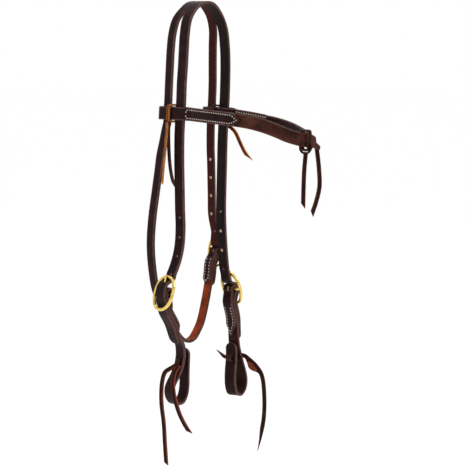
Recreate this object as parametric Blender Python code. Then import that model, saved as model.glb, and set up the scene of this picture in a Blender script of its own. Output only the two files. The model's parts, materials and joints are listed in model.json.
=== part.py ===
"""Western headstall in oiled leather, hanging by its crown.

The crown strap is split at both ends: its front legs are the cheek billets, its rear legs
carry the throat strap. Two cheek straps hang from centre bar buckles and fold up into bit
loops that leather thongs tie shut. A knotted browband in two halves closes in front.

Metres, +Z up, +X to the horse's nose, +Y to its left. The origin is under the crown's middle.
"""
import math

import bmesh
import bpy
from mathutils import Vector

# Leather
CHEEK_WIDTH = 0.0165
THROAT_WIDTH = 0.0132
BROW_WIDTH = 0.0168
LEATHER = 0.0036
LEATHER_ROUNDING = 0.0009
LAYER_GAP = 0.0006
THONG_WIDTH = 0.0064
THONG_THICKNESS = 0.0026
EAR_THONG_WIDTH = 0.0048
CHEEK_CENTRE = 0.0064
THONG_ROUNDING = 0.0007
SEAT_GAP = 0.00035
BAR_GAP = 0.0005
RING_STEP = 0.012
RING_TURN = 0.26

# Crown and head room
HALF_SPAN = 0.040
BAR_DROP = 0.366
RIGHT_SLIT_START = 0.028
LEFT_SLIT_START = 0.044
REAR_SPREAD = 0.0085

# Cheek buckles
BUCKLE_WIDTH = 0.036
BUCKLE_HEIGHT = 0.047
BUCKLE_WIRE = 0.0043
BAR_DIAMETER = 0.0035
BAR_SETBACK = 0.0025
TONGUE_DIAMETER = 0.0027
FRAME_PLAY = 0.0008
RIGHT_BUCKLE_OUT = 0.0728
RIGHT_BUCKLE_DROP = 0.366
RIGHT_BUCKLE_LEAN = math.radians(20)
LEFT_BUCKLE_OUT = 0.0488
LEFT_BUCKLE_DROP = 0.371
LEFT_BUCKLE_LEAN = math.radians(18)

# Throat buckle and strap
THROAT_BUCKLE_WIDTH = 0.031
THROAT_BUCKLE_HEIGHT = 0.042
THROAT_WIRE = 0.0036
THROAT_BAR = 0.003
THROAT_SETBACK = 0.002
THROAT_TONGUE = 0.0023
THROAT_BUCKLE_BACK = 0.0145
THROAT_BUCKLE_OUT = 0.0412
THROAT_BUCKLE_DROP = 0.324
THROAT_BUCKLE_LEAN = math.radians(-6)
THROAT_REACH = 0.040
THROAT_DROP = 0.437

# Holes
HOLE_DIAMETER = 0.0042
HOLE_PITCH = 0.0254
THROAT_HOLE_PITCH = 0.0238
CHEEK_HOLES = 6
THROAT_HOLES = 7
TONGUE_SWING = math.radians(8)
FRAME_ROCK = math.radians(2)
TONGUE_CLEARANCE = 0.0006

# Cheek straps
CHEEK_DROP = 0.144
CHEEK_REACH = 0.040
CHAPE_LENGTH = 0.050
CHAPE_POINT = 0.016
THROAT_CHAPE_LENGTH = 0.040
THROAT_CHAPE_POINT = 0.008
BILLET_TAIL = 0.072
THROAT_TAIL = 0.048
BIT_TIE_DROP = 0.092
BIT_TIE_SPACING = 0.0075
BIT_TIE_STUB = 0.0032

# Thong ends
END_GAP = 0.0007
RIGHT_FRONT_END = 0.0825
RIGHT_REAR_END = 0.131
LEFT_LONG_END = 0.124
LEFT_SHORT_END = 0.020
EAR_OUTER_END = 0.078
EAR_INNER_END = 0.087
EAR_LEFT_END = 0.052
EAR_END_GAP = 0.0034

# Browband
RIGHT_EAR_DROP = 0.1386
LEFT_EAR_DROP = 0.142
EAR_PLAY = 0.0012
EAR_CLEARANCE = 0.0009
EAR_SET_BACK = 0.0086
EAR_THONG_BACK = 0.006
LEFT_EAR_THONG_BACK = 0.0056
RIGHT_EAR_LEAN = math.radians(4.4)
LEFT_EAR_LEAN = math.radians(-4.7)
LEAN_FADE = 0.050
RIGHT_EAR_OUT = HALF_SPAN * 1.0825
LEFT_EAR_OUT = HALF_SPAN * 0.8625
BROW_REACH = 0.186
BROW_BULGE = 0.0445
BROW_SAG = 0.0245
RIGHT_OVERLAY_LENGTH = 0.140
LEFT_OVERLAY_LENGTH = 0.109
OVERLAY_EASE = 0.013
OVERLAY_POINT = 0.012
NARROW_LENGTH = 0.016
NARROW_SHARE = 0.5
KNOT_WRAP_WIDTH = 0.0064
KNOT_EASE = 0.0022
KNOT_RING_RADIUS = 0.0082
KNOT_RING_SHIFT = 0.0075
TAIL_ONE = 0.066
TAIL_TWO = 0.080
TAIL_WIDTH = 0.006

# Stitches
STITCH_PITCH = 0.0037
STITCH_WIDTH = 0.0008
STITCH_INSET = 0.0024

RIGHT = -1
LEFT = 1
HOLE_START_SHARE = 0.30
REAR_CENTRE = CHEEK_CENTRE - (CHEEK_WIDTH + THROAT_WIDTH) / 2

# Front legs of the crown: outward as shares of HALF_SPAN, down as shares of BAR_DROP
RIGHT_LEG_SHARES = (
    (0.30, 0.001), (0.575, 0.023), (0.775, 0.055), (0.875, 0.104), (0.925, 0.164), (0.963, 0.219),
    (1.013, 0.276), (1.038, 0.331), (1.088, 0.396), (1.125, 0.464), (1.133, 0.555), (1.113, 0.661),
    (1.105, 0.716), (1.08, 0.779), (1.08, 0.844), (1.14, 0.877))
LEFT_LEG_SHARES = (
    (0.25, 0.001), (0.55, 0.031), (0.813, 0.085), (0.913, 0.150), (0.938, 0.213), (0.925, 0.281),
    (0.90, 0.339), (0.855, 0.396), (0.825, 0.445), (0.795, 0.511), (0.78, 0.566), (0.745, 0.675),
    (0.735, 0.724), (0.755, 0.792), (0.80, 0.861))
CROWN_TOP_SHARE = 0.5

# Rear legs: back as shares of REAR_SPREAD, then out and down as above
RIGHT_REAR_SHARES = (
    (0.0, 0.30, 0.001), (0.12, 0.575, 0.023), (0.55, 0.775, 0.055), (0.9, 0.875, 0.104),
    (1.06, 0.925, 0.164), (1.06, 0.963, 0.219), (1.0, 1.013, 0.276), (1.0, 1.043, 0.331),
    (1.01, 1.085, 0.388))
LEFT_REAR_SHARES = (
    (0.0, 0.25, 0.001), (0.0, 0.55, 0.031), (0.35, 0.813, 0.085), (0.85, 0.913, 0.150),
    (1.0, 0.938, 0.213), (0.95, 0.925, 0.281), (0.95, 0.90, 0.339), (0.95, 0.857, 0.396),
    (0.93, 0.83, 0.445), (0.88, 0.815, 0.511), (0.82, 0.825, 0.566), (0.82, 0.85, 0.675),
    (0.82, 0.87, 0.752))

# Throat strap past its chape, from the left round to the right ear: back as shares of
# THROAT_BUCKLE_BACK, left as shares of THROAT_REACH, down as shares of THROAT_DROP
THROAT_SHARES = (
    (0.97, 0.712, 0.812), (0.95, 0.61, 0.848), (0.93, 0.51, 0.883), (0.92, 0.27, 0.949),
    (0.91, 0.10, 0.973), (0.90, -0.07, 0.991), (0.88, -0.26, 0.9985), (0.86, -0.46, 0.998),
    (0.86, -0.70, 0.984), (0.93, -1.0, 0.950), (1.07, -1.37, 0.892), (1.21, -1.63, 0.831),
    (1.31, -1.705, 0.787), (1.38, -1.74, 0.748), (1.41, -1.76, 0.711), (1.41, -1.75, 0.675),
    (1.38, -1.69, 0.618), (1.33, -1.57, 0.551), (1.25, -1.46, 0.485), (1.20, -1.395, 0.442),
    (1.16, -1.27, 0.398), (1.15, -1.165, 0.362), (1.145, -1.10, 0.343), (1.14, -1.087, 0.3265))

# Cheek straps past the buckle, round the bit loop: out as shares of CHEEK_REACH,
# down from the buckle's middle as shares of CHEEK_DROP
RIGHT_CHEEK_SHARES = (
    (1.48, 0.281), (1.28, 0.410), (1.13, 0.480), (1.09, 0.535), (1.10, 0.604), (1.165, 0.667),
    (1.325, 0.75), (1.51, 0.819), (1.595, 0.875), (1.56, 0.945), (1.37, 1.003), (1.14, 0.997),
    (0.985, 0.931), (0.93, 0.847), (0.925, 0.757), (0.915, 0.688), (0.90, 0.618), (0.895, 0.563),
    (0.905, 0.52))
LEFT_CHEEK_SHARES = (
    (1.285, 0.271), (1.31, 0.396), (1.335, 0.486), (1.375, 0.563), (1.45, 0.632), (1.55, 0.715),
    (1.655, 0.799), (1.70, 0.875), (1.63, 0.951), (1.45, 0.993), (1.275, 0.976), (1.185, 0.917),
    (1.16, 0.840), (1.175, 0.757), (1.21, 0.674), (1.22, 0.604), (1.215, 0.549), (1.21, 0.505))

# Browband halves from the ear forward: forward as shares of BROW_REACH, out as shares of
# BROW_BULGE, down as shares of BROW_SAG
RIGHT_BROW_SHARES = (
    (0.15, 0.92, 0.02), (0.27, 0.978, 0.05), (0.403, 1.0, 0.095), (0.538, 0.978, 0.155),
    (0.672, 0.90, 0.25), (0.78, 0.775, 0.42), (0.86, 0.607, 0.645), (0.92, 0.42, 0.88),
    (0.962, 0.25, 1.02), (0.987, 0.10, 1.10), (0.997, -0.03, 1.14), (1.0, -0.16, 1.20),
    (0.999, -0.28, 1.32), (0.995, -0.40, 1.46), (0.990, -0.55, 1.60))
LEFT_BROW_SHARES = (
    (0.15, 0.73, 0.055), (0.27, 0.81, 0.15), (0.403, 0.865, 0.275), (0.538, 0.876, 0.41),
    (0.672, 0.83, 0.60), (0.78, 0.73, 0.80), (0.86, 0.575, 0.93), (0.915, 0.40, 1.0),
    (0.95, 0.24, 1.01), (0.964, 0.09, 1.0), (0.9645, -0.02, 1.0), (0.953, -0.12, 1.01),
    (0.925, -0.24, 1.02))

# Free ends of thongs: forward, out and down from the root, as shares of the end's reach
RIGHT_FRONT_END_SHARES = (
    (0.0, 0.0, 0.0), (-0.01, 0.06, 0.079), (0.027, 0.137, 0.176), (0.081, 0.192, 0.297),
    (0.136, 0.204, 0.467), (0.215, 0.192, 0.673), (0.293, 0.155, 0.842), (0.39, 0.109, 1.0))
RIGHT_REAR_END_SHARES = (
    (0.0, 0.0, 0.0), (-0.035, 0.03, 0.03), (-0.085, 0.05, 0.07), (-0.108, 0.068, 0.168),
    (-0.111, 0.076, 0.366), (-0.085, 0.069, 0.576), (-0.079, 0.061, 0.767),
    (-0.075, 0.046, 1.0))
LEFT_LONG_END_SHARES = (
    (0.0, 0.0, 0.0), (0.044, 0.002, 0.004), (0.10, 0.004, 0.03), (0.205, 0.0, 0.085),
    (0.30, -0.004, 0.178), (0.342, -0.008, 0.395), (0.338, -0.016, 0.653),
    (0.29, -0.024, 0.847), (0.237, -0.032, 1.0))
LEFT_SHORT_END_SHARES = (
    (0.0, 0.0, 0.0), (-0.27, -0.01, -0.05), (-0.52, -0.03, -0.14), (-0.75, -0.05, -0.235),
    (-0.97, -0.075, -0.325))
EAR_OUTER_END_SHARES = (
    (0.0, 0.0, 0.0), (0.012, 0.01, 0.08), (-0.007, 0.03, 0.41), (-0.013, 0.064, 0.67),
    (-0.02, 0.10, 1.0))
EAR_INNER_END_SHARES = (
    (0.0, 0.0, 0.0), (-0.004, 0.003, 0.13), (-0.014, -0.01, 0.35), (-0.03, -0.045, 0.61),
    (-0.042, -0.10, 0.82), (-0.045, -0.175, 1.0))
EAR_LEFT_END_SHARES = (
    (0.0, 0.0, 0.0), (0.11, 0.01, 0.02), (0.27, 0.02, 0.07), (0.42, 0.04, 0.19),
    (0.575, 0.06, 0.45), (0.74, 0.07, 0.69), (0.95, 0.09, 0.90))
TAIL_ONE_SHARES = (
    (0.0, 0.0, 0.0), (-0.008, -0.008, 0.12), (-0.02, -0.015, 0.30), (-0.033, -0.015, 0.58),
    (-0.045, -0.015, 1.0))
TAIL_TWO_SHARES = (
    (0.0, 0.0, 0.0), (0.014, 0.0, 0.08), (0.037, 0.0, 0.245), (0.05, 0.0, 0.52),
    (-0.022, 0.0, 0.77), (-0.126, 0.0, 1.0))

# End outlines: distance from the tip as a share of the end's length, then how much of the
# half width is left on each side
ROUND_END_SHARES = ((0.06, 0.34, 0.34), (0.23, 0.64, 0.64), (0.5, 0.87, 0.87), (1.0, 1.0, 1.0))
POINT_END_SHARES = ((0.0, 0.16, 0.16), (0.5, 0.62, 0.62), (1.0, 1.0, 1.0))
CHAPE_END_SHARES = ((0.0, 0.14, 0.14), (0.8, 0.66, 0.66), (1.0, 1.0, 1.0))
SLANT_END_SHARES = ((0.0, 1.0, -0.7), (1.0, 1.0, 1.0))


def material(name, red, green, blue, roughness, metallic=0.0):
    made = bpy.data.materials.new(name)
    made.use_nodes = True
    shader = made.node_tree.nodes["Principled BSDF"]
    shader.inputs["Base Color"].default_value = (red, green, blue, 1.0)
    shader.inputs["Roughness"].default_value = roughness
    shader.inputs["Metallic"].default_value = metallic
    return made


def add_object(name, shape, finish, smooth=math.radians(40)):
    mesh = bpy.data.meshes.new(name)
    bmesh.ops.recalc_face_normals(shape, faces=shape.faces)
    shape.to_mesh(mesh)
    shape.free()
    mesh.shade_smooth()
    mesh.set_sharp_from_angle(angle=smooth)
    mesh.materials.append(finish)
    made = bpy.data.objects.new(name, mesh)
    bpy.context.scene.collection.objects.link(made)
    return made


def cut(target, name, shape):
    """Subtract a shape from a strap, keeping it as a wire cutter."""
    mesh = bpy.data.meshes.new(name)
    bmesh.ops.recalc_face_normals(shape, faces=shape.faces)
    shape.to_mesh(mesh)
    shape.free()
    cutter = bpy.data.objects.new(name, mesh)
    bpy.context.scene.collection.objects.link(cutter)
    cutter.display_type = "WIRE"
    cutter.hide_render = True
    modifier = target.modifiers.new(name, "BOOLEAN")
    modifier.operation = "DIFFERENCE"
    modifier.solver = "EXACT"
    modifier.object = cutter


def through(points, closed=False, fine=10):
    """A dense smooth curve through hand placed points."""
    points = [Vector(point) for point in points]
    count = len(points)
    dense = []
    for index in range(count if closed else count - 1):
        if closed:
            first, second = points[index], points[(index + 1) % count]
            before, after = points[index - 1], points[(index + 2) % count]
        else:
            first, second = points[index], points[index + 1]
            before = points[index - 1] if index else first * 2 - second
            after = points[index + 2] if index + 2 < count else second * 2 - first
        knots = [0.0]
        for start, end in ((before, first), (first, second), (second, after)):
            knots.append(knots[-1] + math.sqrt((end - start).length))
        for step in range(fine):
            t = knots[1] + (knots[2] - knots[1]) * step / fine
            low = blend_points(before, first, knots[0], knots[1], t)
            middle = blend_points(first, second, knots[1], knots[2], t)
            high = blend_points(second, after, knots[2], knots[3], t)
            near = blend_points(low, middle, knots[0], knots[2], t)
            far = blend_points(middle, high, knots[1], knots[3], t)
            dense.append(blend_points(near, far, knots[1], knots[2], t))
    dense.append(dense[0].copy() if closed else points[-1].copy())
    return dense


def blend_points(start, end, low, high, value):
    return start.lerp(end, (value - low) / (high - low))


class Route:
    """A dense curve that knows its length, and the frame of a strap that follows it."""

    def __init__(self, dense, across, later=None, fade=(0.0, 1.0)):
        self.points = dense
        self.across = Vector(across).normalized()
        self.later = Vector(later).normalized() if later else self.across
        self.fade = fade
        self.marks = [0.0]
        for start, end in zip(dense, dense[1:]):
            self.marks.append(self.marks[-1] + (end - start).length)
        self.length = self.marks[-1]

    def point(self, distance):
        if distance <= 0:
            return self.points[0] + (self.points[1] - self.points[0]).normalized() * distance
        for index in range(len(self.marks) - 1):
            if distance <= self.marks[index + 1]:
                span = self.marks[index + 1] - self.marks[index]
                share = (distance - self.marks[index]) / span if span else 0.0
                return self.points[index].lerp(self.points[index + 1], share)
        last = (self.points[-1] - self.points[-2]).normalized()
        return self.points[-1] + last * (distance - self.length)

    def frame(self, distance):
        """The point, the way along, the way across the width and the face's normal."""
        reach = self.length / (len(self.points) * 2)
        along = (self.point(distance + reach) - self.point(distance - reach)).normalized()
        share = (distance - self.fade[0]) / (self.fade[1] - self.fade[0])
        across = self.across.lerp(self.later, min(max(share, 0.0), 1.0))
        wide = (across - along * across.dot(along)).normalized()
        return self.point(distance), along, wide, along.cross(wide)

    def stations(self, start, end, step=RING_STEP, turn=RING_TURN):
        """Distances from start to end, closer together where the strap bends."""
        marks = [mark for mark in self.marks if start < mark < end]
        marks = [start] + marks + [end]
        paces = [0.0]
        heading = self.frame(marks[0])[1]
        for low, high in zip(marks, marks[1:]):
            following = self.frame(high)[1]
            paces.append(paces[-1] + (high - low) / step + heading.angle(following, 0.0) / turn)
            heading = following
        count = max(2, math.ceil(paces[-1]))
        places = []
        index = 0
        for number in range(count + 1):
            pace = paces[-1] * number / count
            while index < len(paces) - 2 and paces[index + 1] < pace:
                index += 1
            span = paces[index + 1] - paces[index]
            share = (pace - paces[index]) / span if span else 0.0
            places.append(marks[index] + (marks[index + 1] - marks[index]) * share)
        return places

    def beside(self, low, high, distance, count=40):
        """Points of a second layer at a distance along the normal, a number or a function."""
        shifted = []
        for number in range(count + 1):
            place = low + (high - low) * number / count
            point, _, _, normal = self.frame(place)
            gap = distance(place) if callable(distance) else distance
            shifted.append(point + normal * gap)
        return shifted


def end_width(shares, reach, distance):
    """How much of the half width is left on each side, a distance from the tip."""
    if not shares or distance >= reach:
        return 1.0, 1.0
    share = max(distance / reach, shares[0][0])
    for low, high in zip(shares, shares[1:]):
        if share <= high[0]:
            part = (share - low[0]) / (high[0] - low[0])
            return low[1] + (high[1] - low[1]) * part, low[2] + (high[2] - low[2]) * part
    return 1.0, 1.0


def section(frame, left, right, thickness, rounding):
    """Eight points of a strap's cross section, rounded at its corners."""
    point, _, wide, normal = frame
    half = thickness / 2
    corner = min(rounding, (left + right) * 0.3, thickness * 0.35)
    pairs = ((left, half - corner), (left - corner, half), (corner - right, half),
             (-right, half - corner), (-right, corner - half), (corner - right, -half),
             (left - corner, -half), (left, corner - half))
    return [point + wide * a + normal * b for a, b in pairs]


def join_rings(shape, first, second, skipped=None):
    count = len(first)
    for index in range(count):
        following = (index + 1) % count
        if index != skipped:
            shape.faces.new((first[index], first[following], second[following], second[index]))


def ribbon(name, route, width, finish, thickness=LEATHER, rounding=LEATHER_ROUNDING,
           start=(None, 0.0), end=(None, 0.0), closed=False, widths=None,
           step=RING_STEP, turn=RING_TURN):
    """A leather strap along a route, with its ends cut to an outline."""
    places = route.stations(0.0, route.length, step, turn)
    if start[0]:
        places = [p for p in places if p > start[1]]
        places = [share[0] * start[1] for share in start[0]] + places
    if end[0]:
        places = [p for p in places if p < route.length - end[1]]
        places += [route.length - share[0] * end[1] for share in reversed(end[0])]
    if closed:
        places = places[:-1]
    shape = bmesh.new()
    rings = []
    for place in places:
        left_start, right_start = end_width(start[0], start[1], place)
        left_end, right_end = end_width(end[0], end[1], route.length - place)
        half = width / 2 * (widths(place / route.length) if widths else 1.0)
        left = half * min(left_start, left_end)
        right = half * min(right_start, right_end)
        ring = section(route.frame(place), left, right, thickness, rounding)
        rings.append([shape.verts.new(point) for point in ring])
    for first, second in zip(rings, rings[1:]):
        join_rings(shape, first, second)
    if closed:
        join_rings(shape, rings[-1], rings[0])
    else:
        shape.faces.new(rings[0])
        shape.faces.new(rings[-1])
    return add_object(name, shape, finish)


def rod(shape, route, radius, sides=8, closed=False, step=0.004, turn=0.4, point=0.0):
    """A round bar along a route, added to a shape, its last stretch drawn to a point."""
    places = route.stations(0.0, route.length, step, turn)
    if closed:
        places = places[:-1]
    rings = []
    for place in places:
        centre, _, wide, normal = route.frame(place)
        left = max(route.length - place, 0.0)
        size = radius * (0.55 + 0.45 * left / point if left < point else 1.0)
        ring = []
        for side in range(sides):
            angle = math.tau * side / sides
            ring.append(shape.verts.new(centre + wide * size * math.cos(angle)
                                        + normal * size * math.sin(angle)))
        rings.append(ring)
    for first, second in zip(rings, rings[1:]):
        join_rings(shape, first, second)
    if closed:
        join_rings(shape, rings[-1], rings[0])
    else:
        shape.faces.new(rings[0])
        shape.faces.new(rings[-1])


def hole_punch(route, places, diameter, depth, sides=12):
    """Round pins across a strap at the given distances along it."""
    shape = bmesh.new()
    for place in places:
        point, along, wide, normal = route.frame(place)
        rings = []
        for height in (-depth, depth):
            ring = []
            for side in range(sides):
                angle = math.tau * (side + 0.5) / sides
                ring.append(shape.verts.new(point + normal * height
                                            + wide * diameter / 2 * math.cos(angle)
                                            + along * diameter / 2 * math.sin(angle)))
            rings.append(ring)
        join_rings(shape, rings[0], rings[1])
        shape.faces.new(rings[0])
        shape.faces.new(rings[1])
    return shape


def prism(outline, across, half_width, shape=None):
    """A flat outline carried across by half a width to each side."""
    shape = shape or bmesh.new()
    shift = Vector(across).normalized() * half_width
    low = [shape.verts.new(point - shift) for point in outline]
    high = [shape.verts.new(point + shift) for point in outline]
    join_rings(shape, low, high)
    shape.faces.new(low)
    shape.faces.new(high)
    return shape


class Buckle:
    """The places of one centre bar buckle: its middle, its lean and its local directions."""

    def __init__(self, side, x, out, drop, lean, width, height, wire, bar, setback, tongue):
        self.side = side
        self.x = x
        self.outward = Vector((0, side * math.cos(lean), math.sin(lean)))
        self.upward = Vector((0, -side * math.sin(lean), math.cos(lean)))
        self.middle = Vector((x, side * out, -drop))
        self.half_width = (width - wire) / 2
        self.half_height = (height - wire) / 2
        self.wire = wire
        self.bar = bar
        self.setback = setback
        self.tongue = tongue
        self.bar_middle = self.middle - self.outward * setback
        self.fold = bar / 2 + BAR_GAP + LEATHER / 2
        self.layer = LEATHER + LAYER_GAP
        self.reach = self.half_height * 0.9
        self.strap_at_frame = -(wire / 2 + FRAME_PLAY + LEATHER / 2)
        self.strap_at_bar = self.fold - setback + self.layer

    def place(self, out, up):
        return self.middle + self.outward * out + self.upward * up

    def swell(self, up, low, high):
        """How far out a strap lies between the frame's end, low, and the bar, high."""
        share = min(abs(up) / self.reach, 1.0)
        return low + (high - low) * (1 + math.cos(math.pi * share)) / 2

    def billet_above(self):
        """The billet's points from above the frame down to the bar."""
        heights = (1.30, 1.12, 0.95, 0.78, 0.62, 0.46, 0.32, 0.18, 0.08)
        return [self.place(self.swell(share * self.half_height, self.strap_at_frame,
                                      self.strap_at_bar), share * self.half_height)
                for share in heights]

    def strap_below(self):
        """The cheek strap's points from the bar down past the frame, under the billet."""
        dense = []
        for number in range(-2, 37):
            up = self.half_height * number / 40
            out = self.swell(up, self.strap_at_frame, self.strap_at_bar)
            dense.append(self.place(out, -up))
        swell = Route(dense, (1, 0, 0))
        turned = swell.frame(0.0)[3].dot(self.outward)
        gap = -self.layer if turned > 0 else self.layer
        inner = swell.beside(swell.marks[2], swell.length, gap)
        return inner[::4]

    def fold_points(self, count=14):
        """The half turn over the bar, from the inner side to the outer side."""
        points = []
        for number in range(1, count):
            angle = math.pi * (1 - number / count)
            points.append(self.bar_middle + self.outward * self.fold * math.cos(angle)
                          + self.upward * self.fold * math.sin(angle))
        return points

    def tongue_points(self):
        """The tongue's loop round the bar, then its straight shank to the frame's top."""
        radius = self.bar / 2 + BAR_GAP + self.tongue / 2
        tip_out = self.setback + self.wire / 2 + BAR_GAP + self.tongue / 2
        tip_up = self.half_height + self.wire * 0.35
        reach = math.hypot(tip_out, tip_up)
        leave = math.atan2(tip_up, tip_out) - math.acos(radius / reach)
        points = []
        turns = 14
        for number in range(turns + 1):
            angle = leave - math.radians(285) * (1 - number / turns)
            points.append(self.bar_middle + self.outward * radius * math.cos(angle)
                          + self.upward * radius * math.sin(angle))
        tip = self.bar_middle + self.outward * tip_out + self.upward * tip_up
        shank = 6
        start = points[-1]
        points += [start.lerp(tip, number / shank) for number in range(1, shank + 1)]
        return points, (tip - start).normalized(), start

    def tongue_slot(self):
        """The outline of the tongue's way through the billet, over its swing and the rock."""
        points, heading, start = self.tongue_points()
        offset = start - self.bar_middle
        radius = self.tongue / 2 + TONGUE_CLEARANCE
        near, far = self.tongue * 0.3, self.half_height * 0.95
        outline = []
        turns = ((-FRAME_ROCK, -1, near), (-FRAME_ROCK, -1, far),
                 (TONGUE_SWING + FRAME_ROCK, 1, far), (TONGUE_SWING + FRAME_ROCK, 1, near))
        for turn, side, distance in turns:
            out, up = self.local(offset + heading * distance)
            normal_out, normal_up = self.local(heading)
            edge_out, edge_up = normal_up * side * radius, -normal_out * side * radius
            out, up = out + edge_out, up + edge_up
            turned_out = out * math.cos(turn) + up * math.sin(turn)
            turned_up = up * math.cos(turn) - out * math.sin(turn)
            outline.append(self.bar_middle + self.outward * turned_out + self.upward * turned_up)
        return outline

    def local(self, vector):
        return vector.dot(self.outward), vector.dot(self.upward)


def buckle_frame(name, buckle, finish):
    """The oval wire frame with its centre bar, as one casting."""
    points = []
    turns = 40
    for number in range(turns):
        angle = math.tau * number / turns
        wide = math.copysign(abs(math.cos(angle)) ** 0.88, math.cos(angle)) * buckle.half_width
        tall = math.copysign(abs(math.sin(angle)) ** 0.88, math.sin(angle)) * buckle.half_height
        points.append(buckle.middle + Vector((wide, 0, 0)) + buckle.upward * tall)
    shape = bmesh.new()
    ring = Route(through(points, closed=True, fine=2), buckle.outward)
    rod(shape, ring, buckle.wire / 2, closed=True, step=buckle.wire, turn=0.2)
    frame = add_object(name, shape, finish)
    half = buckle.half_width - buckle.wire / 4
    bend = buckle.setback
    inner = buckle.half_width - buckle.wire
    bar_points = [buckle.place(0, 0) + Vector((-half, 0, 0)),
                  buckle.place(-bend * 0.6, 0) + Vector((-(half + inner) / 2, 0, 0)),
                  buckle.place(-bend, 0) + Vector((-inner, 0, 0)),
                  buckle.place(-bend, 0) + Vector((inner, 0, 0)),
                  buckle.place(-bend * 0.6, 0) + Vector(((half + inner) / 2, 0, 0)),
                  buckle.place(0, 0) + Vector((half, 0, 0))]
    bar_shape = bmesh.new()
    rod(bar_shape, Route(bar_points, buckle.outward), buckle.bar / 2, sides=10,
        step=buckle.wire, turn=0.3)
    mesh = bpy.data.meshes.new(name + "_bar")
    bmesh.ops.recalc_face_normals(bar_shape, faces=bar_shape.faces)
    bar_shape.to_mesh(mesh)
    bar_shape.free()
    bar = bpy.data.objects.new(name + "_bar", mesh)
    bpy.context.scene.collection.objects.link(bar)
    bar.display_type = "WIRE"
    bar.hide_render = True
    union = frame.modifiers.new("bar", "BOOLEAN")
    union.operation = "UNION"
    union.solver = "EXACT"
    union.object = bar
    return frame


def buckle_tongue(name, buckle, finish):
    points, _, _ = buckle.tongue_points()
    shape = bmesh.new()
    rod(shape, Route(points, (1, 0, 0)), buckle.tongue / 2, step=buckle.tongue * 1.6,
        turn=0.45, point=buckle.tongue * 1.2)
    return add_object(name, shape, finish)


def stitch_line(name, places, facing, finish, closed=False):
    """One run of thread lying on a face, through places given as (point, normal)."""
    lift = SEAT_GAP * 1.3 + STITCH_WIDTH / 2
    points = [point + normal * lift for point, normal in places]
    if closed:
        points.append(points[0].copy())
    shape = bmesh.new()
    rod(shape, Route(points, facing), STITCH_WIDTH / 2, sides=6, closed=closed,
        step=RING_STEP / 2, turn=0.3)
    return add_object(name, shape, finish)


def stitch_path(route, low, high, half_width, face, side, point_length):
    """Down one edge of a strap, round its point and back up the other edge."""
    rows = []
    count = int((high - low) / (STITCH_PITCH * 1.5))
    for row in (-1, 1):
        line = []
        for number in range(count + 1):
            place = low + (high - low) * number / count
            point, _, wide, normal = route.frame(place)
            narrow = min(1.0, (high - place) / point_length)
            offset = STITCH_WIDTH * 1.2 + (half_width - STITCH_INSET) * narrow
            offset = min(offset, half_width - STITCH_INSET)
            line.append((point + wide * offset * row + normal * face, normal * side))
        rows += line if row < 0 else list(reversed(line))
    return rows


def leg_points(side, shares, x):
    return [Vector((x, side * out * HALF_SPAN, -down * BAR_DROP)) for out, down in shares]


def rear_points(side, shares):
    return [Vector((REAR_CENTRE - back * REAR_SPREAD, side * out * HALF_SPAN, -down * BAR_DROP))
            for back, out, down in shares]


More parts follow.
